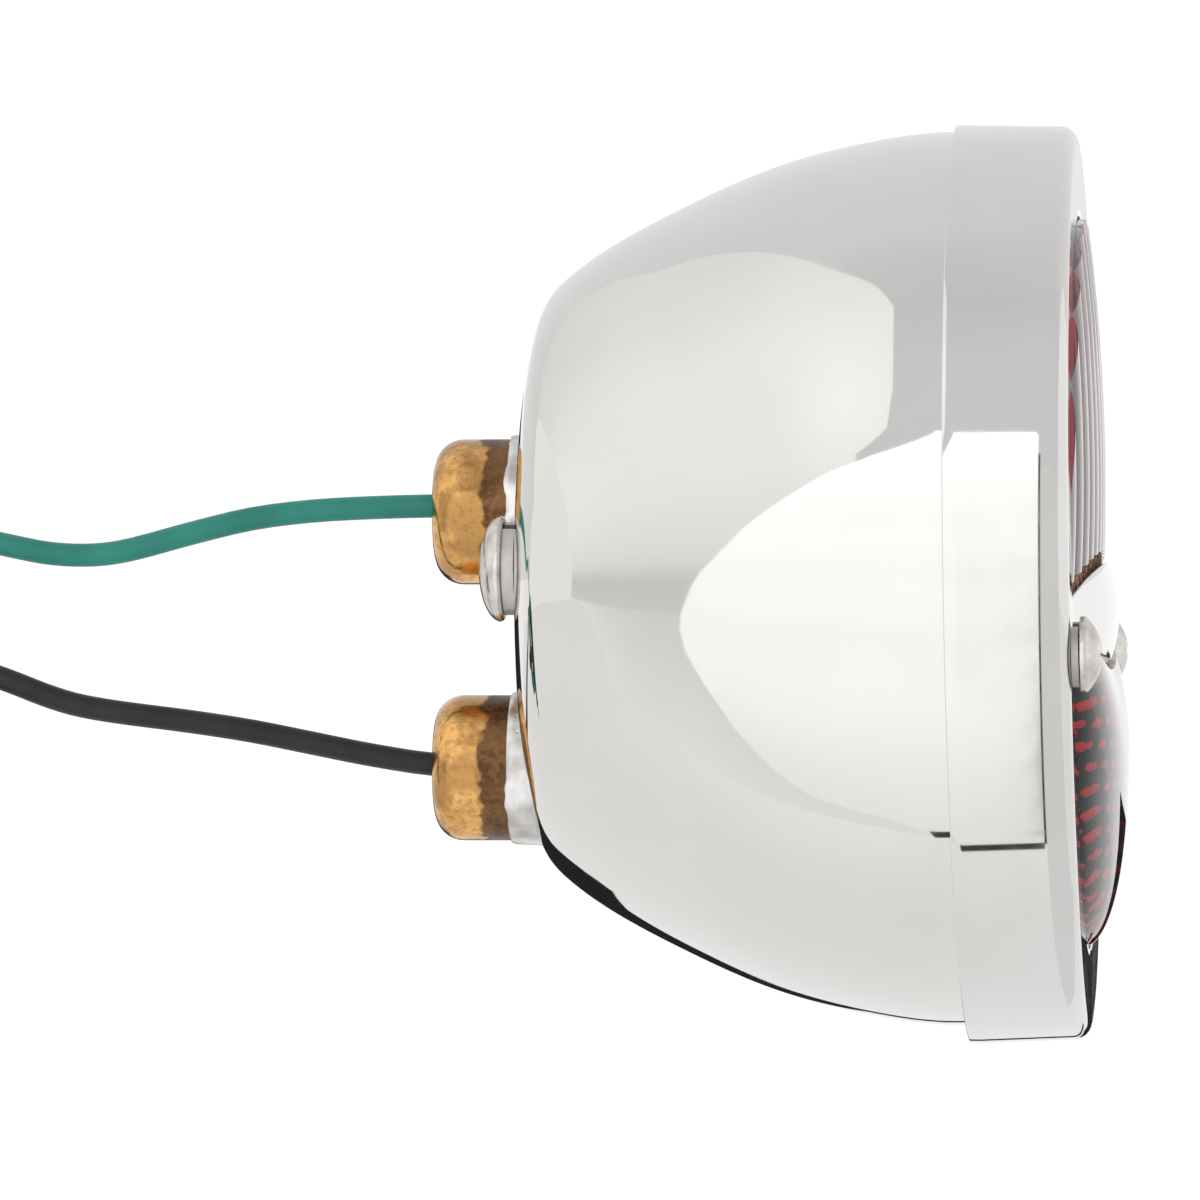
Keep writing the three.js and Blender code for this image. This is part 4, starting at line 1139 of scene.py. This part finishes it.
def bead_tree():
    """Scatters one bead on every point of a mesh, each squashed along X."""
    tree = bpy.data.node_groups.new("lens_beads", "GeometryNodeTree")
    tree.interface.new_socket("Geometry", in_out="INPUT", socket_type="NodeSocketGeometry")
    for label in ("Bead radius", "Bead height"):
        tree.interface.new_socket(label, in_out="INPUT", socket_type="NodeSocketFloat")
    tree.interface.new_socket("Material", in_out="INPUT", socket_type="NodeSocketMaterial")
    tree.interface.new_socket("Geometry", in_out="OUTPUT", socket_type="NodeSocketGeometry")
    taken = tree.nodes.new("NodeGroupInput")
    given = tree.nodes.new("NodeGroupOutput")
    radius, height = taken.outputs["Bead radius"], taken.outputs["Bead height"]
    bead = add_node(tree, "GeometryNodeMeshIcoSphere", {"Radius": radius, "Subdivisions": 2})
    flatten = add_node(tree, "ShaderNodeMath", {0: height, 1: radius}, operation="DIVIDE")
    shape = add_node(tree, "ShaderNodeCombineXYZ", {0: flatten.outputs[0], 1: 1.0, 2: 1.0})
    values = {"Geometry": bead.outputs["Mesh"], "Scale": shape.outputs[0]}
    low = add_node(tree, "GeometryNodeTransform", values)
    smooth = add_node(tree, "GeometryNodeSetShadeSmooth", {"Geometry": low.outputs["Geometry"]})
    spread = add_node(
        tree, "GeometryNodeInstanceOnPoints",
        {"Points": taken.outputs["Geometry"], "Instance": smooth.outputs["Geometry"]},
    )
    whole = add_node(tree, "GeometryNodeRealizeInstances", {"Geometry": spread.outputs["Instances"]})
    finish = add_node(
        tree, "GeometryNodeSetMaterial",
        {"Geometry": whole.outputs["Geometry"], "Material": taken.outputs["Material"]},
    )
    tree.links.new(finish.outputs["Geometry"], given.inputs["Geometry"])
    return tree


def make_beads():
    """Rows of small round beads pressed into the lower lens."""
    # The beads' material carries a painted glow in its emission.
    look = bead_look()
    places = []
    for row in range(-12, 13):
        z = -23.4 + row * BEAD_UP
        for column in range(-12, 13):
            y = (column + 0.5 * (row % 2)) * BEAD_ACROSS
            if math.hypot(y, z) < 40.8 and z < BAR_HEIGHT - bar_half(y) - 2.4:
                places.append(DOOR_PLACE @ Vector((lower_dome(y, z) - BEAD_SINK, y, z)) * MM)
    mesh = bpy.data.meshes.new("lens_beads")
    mesh.from_pydata([tuple(p) for p in places], [], [])
    beads = add_object("lower_lens_beads", mesh)
    modifier = beads.modifiers.new("beads", "NODES")
    tree = bead_tree()
    modifier.node_group = tree
    values = {"Bead radius": 0.5 * MM, "Bead height": 0.3 * MM, "Material": look}
    for item in tree.interface.items_tree:
        if item.in_out == "INPUT" and item.name in values:
            modifier[item.identifier] = values[item.name]
    evaluated(beads)
    fit(beads, "door", "lower_red_glass", look=look)


def make_gasket(name, upper, outer_margin, x_lip):
    """A cork strip that fills the gap between a lens and the door and crumbles out along the divider."""
    x_back, x_face, steps = 63.75, 64.5, 160

    def boundary(radius, margin):
        lines = opening_lines(upper, radius, margin)
        start = math.atan2(lines[-1][2], lines[-1][0])
        end = math.atan2(lines[0][2], lines[0][0])
        span = (end - start) % (2 * math.pi) if upper else -((start - end) % (2 * math.pi))
        angles = [start + span * i / steps for i in range(1, steps)]
        sign, low, high = 1 if upper else -1, lines[0][0], lines[-1][0]
        ys = [low + (high - low) * (i / steps) for i in range(steps + 1)]
        by_bar = [(y, BAR_HEIGHT + sign * (bar_half(y) + margin)) for y in ys]
        return by_bar + [(radius * math.cos(a), radius * math.sin(a)) for a in angles]

    outer = boundary(OPENING + 1.0, -outer_margin)
    inner = boundary(42.85, 1.15)
    flange = boundary(OPENING + 1.4, -outer_margin - 0.3)
    bm = bmesh.new()
    rings = []
    for index, line in enumerate((inner, inner, outer, flange, flange)):
        ring_points = []
        for i, (y, z) in enumerate(line):
            x = x_face if index == 3 else x_back
            if index in (1, 2):
                lip = x_face + (x_lip - x_face) * (1 - min(1, abs(y) / 43) ** 3)
                crumbs = 0.28 * noise.noise(Vector((y * 0.8, z * 0.8, index * 3.0)))
                x = (lip if i <= steps else x_face + 0.35) + crumbs
            ring_points.append(bm.verts.new((x, y, z)))
        rings.append(ring_points)
    skin(bm, rings + rings[:1])
    bmesh.ops.transform(bm, matrix=DOOR_PLACE, verts=bm.verts)
    fit(to_object(bm, f"{name}_cork", 60), "door", "cork", [f"{name}_lens_gasket"])


def make_retainer():
    """The pressed ring and cross bar that hold both lenses from behind."""
    outline = soften([*ring(60.75, 61.35, 41, 51), (60.75, 41)], 0.15)[:-1]
    retainer = to_object(lathe(outline, 160), "retainer_ring")
    bm = bmesh.new()
    add_box(bm, (61.05, 0, BAR_HEIGHT), (0.6, 83, 8))
    combine(retainer, [to_object(bm, "retainer_bar")], "UNION")
    lean_with_door(retainer)
    sharpen(retainer)
    retainer.name = "lens_holding_ring"
    fit(retainer, "door", "plain_steel", ["lens_retainer"])


# ---- parts kept from the CAD model with a better finish

def finish_kept():
    for node in ("baffle", "left_door_bracket", "right_door_bracket"):
        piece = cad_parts[node]
        piece.data.materials.clear()
        piece.data.materials.append(LOOKS["plain_steel"])


def make_lamp():
    make_bowl()
    for name in LAMPS:
        make_socket(name)
        make_bulb(name)
    make_mounts()
    make_bezel()
    make_lens("upper_glass", True, upper_front, upper_dome, "upper_red_glass")
    make_lens("lower_glass", False, lower_dome, lower_dome, "lower_red_glass")
    make_beads()
    make_gasket("upper", True, 0.9, 66.6)
    make_gasket("lower", False, 0.3, 65.9)
    make_retainer()
    make_door_screws()
    finish_kept()


make_lamp()


# ---- studio

CARD_RADIUS = 0.85
WORLD_LIGHT = 1.06


def light_look(colour):
    """A glow whose strength is stored in the card's own points."""
    look = bpy.data.materials.new("card_glow")
    look.use_nodes = True
    tree = look.node_tree
    tree.nodes.clear()
    strength = add_node(tree, "ShaderNodeAttribute", attribute_name="glow").outputs["Fac"]
    glow = add_node(tree, "ShaderNodeEmission", {"Color": (*colour, 1), "Strength": strength})
    out = tree.nodes.new("ShaderNodeOutputMaterial")
    tree.links.new(glow.outputs[0], out.inputs["Surface"])
    return look


def make_card(name, rows, colour=(1, 1, 1), inset=0.0, spot=None, fade=False):
    """A card bent to the round studio wall, from rows of (turn, left x, right x, strength).

    turn is 0 towards the camera and 90 overhead, and x is in wall radii along the lamp.
    spot adds a soft bright patch, and fade brightens the left end to full white.
    """
    columns, degrees_a_row = 32, 2
    bm = bmesh.new()
    glow = bm.verts.layers.float.new("glow")
    fine = []
    for first, second in zip(rows, rows[1:]):
        steps = max(1, round(abs(second[0] - first[0]) / degrees_a_row))
        fine += [tuple(a + (b - a) * i / steps for a, b in zip(first, second)) for i in range(steps)]
    fine.append(rows[-1])
    wall = CARD_RADIUS - inset
    lines = []
    for turn, left, right, strength in fine:
        angle = math.radians(turn)
        line = []
        for k in range(columns + 1):
            share = k / columns
            x = left + (right - left) * k / columns
            vertex = bm.verts.new((x * CARD_RADIUS, -wall * math.cos(angle), wall * math.sin(angle)))
            vertex[glow] = strength + (1 - strength) * (1 - share) ** 1.5 * fade
            if spot:
                at_x, at_turn, half_x, half_turn, gain = spot
                away = ((x - at_x) / half_x) ** 2 + ((turn - at_turn) / half_turn) ** 2
                vertex[glow] += gain * math.exp(-away)
            line.append(vertex)
        lines.append(line)
    skin(bm, lines, wrap=False)
    card = from_bmesh(bm, name)
    card.data.materials.append(light_look(colour))
    card.visible_camera = False
    card.visible_transmission = False
    card.visible_shadow = False


def make_room():
    """White light from all round, and pale paper below."""
    world = bpy.data.worlds.new("studio")
    bpy.context.scene.world = world
    world.use_nodes = True
    background = world.node_tree.nodes["Background"]
    background.inputs["Color"].default_value = (1, 1, 1, 1)
    background.inputs["Strength"].default_value = WORLD_LIGHT
    bm = bmesh.new()
    bmesh.ops.create_grid(bm, x_segments=8, y_segments=8, size=14)
    floor = from_bmesh(bm, "floor")
    floor.location.z = -1.2
    floor.data.materials.append(new_material("pale_paper", Roughness=0.9, Base_Color=(0.9, 0.9, 0.9, 1))[0])


# The front sheet's right edge, and how wide the black line beside it is
EDGE = 0.0965
LINE_WIDTH = 0.014
BLACK = 0.02
# Rows of (turn, left x, strength)
FRONT_SHEET = [
    (34.4, -0.08, 1.7), (31.7, -0.30, 1.6), (28.6, -0.42, 1.55), (25.3, -0.52, 1.5), (21, -0.67, 1.45),
    (15.7, -0.87, 1.4), (9, -1.04, 1.4), (2.4, -1.18, 1.35), (-3, -1.24, 1.35), (-8.5, -1.27, 1.35),
    (-14, -1.29, 1.3), (-20, -1.28, 1.3), (-28, -1.22, 1.3), (-33, -1.15, 1.28), (-38, -1.07, 1.25),
    (-44, -0.95, 1.2), (-50, -0.82, 1.15), (-57, -0.60, 1.1), (-62, -0.43, 1.07),
]
# Rows of (turn, left x, right x, strength)
WARM_SHEET = [
    (-14, -3.0, -0.35, 0.82), (-6, -3.0, -0.35, 0.78), (-1, -3.0, -0.35, 0.8), (6, -3.0, -0.35, 0.96),
    (12, -3.0, -0.35, 1.02), (32.5, -2.9, -0.35, 1.11), (38.5, -2.8, -0.24, 1.12), (49, -2.7, -0.21, 1.13),
    (61, -2.6, -0.20, 1.13), (73, -2.5, -0.19, 1.12), (80, -2.4, -0.23, 1.10), (89.6, -2.2, -0.30, 1.07),
    (100, -2.0, -0.37, 1.03), (114, -1.8, -0.47, 0.98), (125, -1.6, -0.52, 0.96), (134, -1.5, -0.51, 0.93),
    (140, -1.5, -0.55, 0.9),
]
GREY_TOP = [
    (28, -0.45, 1.2, 0.82), (55, -0.45, 1.2, 0.80), (72, -0.45, 1.2, 0.76), (88, -0.45, 1.2, 0.80),
    (100, -0.6, 1.2, 0.86), (150, -0.6, 1.2, 0.88), (175, -1.2, 0.6, 0.86),
]
GREY_WEDGE = [
    (-12, -2.6, -1.0, 0.82), (-20, -2.2, -1.0, 0.86), (-34, -1.8, -1.0, 0.9),
    (-49, -1.5, -0.7, 0.94), (-61, -1.1, -0.4, 0.96), (-67, -0.8, 0.0, 0.97),
]
# Rows of (turn, left x, right x)
LOW_FLAG = [
    (-146, -0.42, -0.385), (-148, -0.455, -0.36), (-151, -0.48, -0.32), (-154, -0.49, -0.28),
    (-157, -0.5, -0.21), (-158.5, -0.5, -0.12), (-162, -0.5, -0.05), (-172, -0.5, -0.06), (-184, -0.5, -0.2),
]


def make_studio():
    make_room()
    line_end = EDGE + LINE_WIDTH
    sheet = [(turn, left, EDGE, strength) for turn, left, strength in FRONT_SHEET]
    top = [(36.4, 0.02, EDGE - 0.02, 1.9), (35.6, -0.005, EDGE, 1.9)]
    make_card("front_sheet", [*top, *sheet, (-65.7, -0.05, EDGE - 0.01, 1.05)], inset=0.004)
    make_card("front_line", [(31, EDGE, line_end, BLACK), (-66, EDGE, line_end, BLACK)], inset=0.004)
    make_card("front_grey", [(140, line_end, 1.2, 0.84), (-130, line_end, 1.2, 0.84)], inset=-0.008)
    make_card("under_line", [(-65.7, -0.03, EDGE, 0.05), (-67.5, 0.0, EDGE, 0.05)], inset=0.004)
    make_card("warm_sheet", WARM_SHEET, (1.0, 0.998, 0.988), spot=(-0.36, 46, 0.17, 22, 0.14))
    make_card("grey_top", GREY_TOP, (0.99, 0.99, 1.0), inset=-0.004)
    make_card("grey_end", [(138, -3.0, -0.5, 0.86), (180, -3.0, -0.5, 0.88)], inset=-0.006)
    make_card("grey_wedge", GREY_WEDGE, inset=-0.002, fade=True)
    make_card("low_flag", [(*row, BLACK) for row in LOW_FLAG], inset=0.002)
    make_card("lower_flag", [(-158.5, -0.13, 0.3, BLACK), (-161.5, -0.13, 0.3, BLACK)], inset=0.002)
    make_card("far_flag", [(-176.5, 0.1, 0.22, BLACK), (-164, 0.1, 0.22, BLACK)])


make_studio()
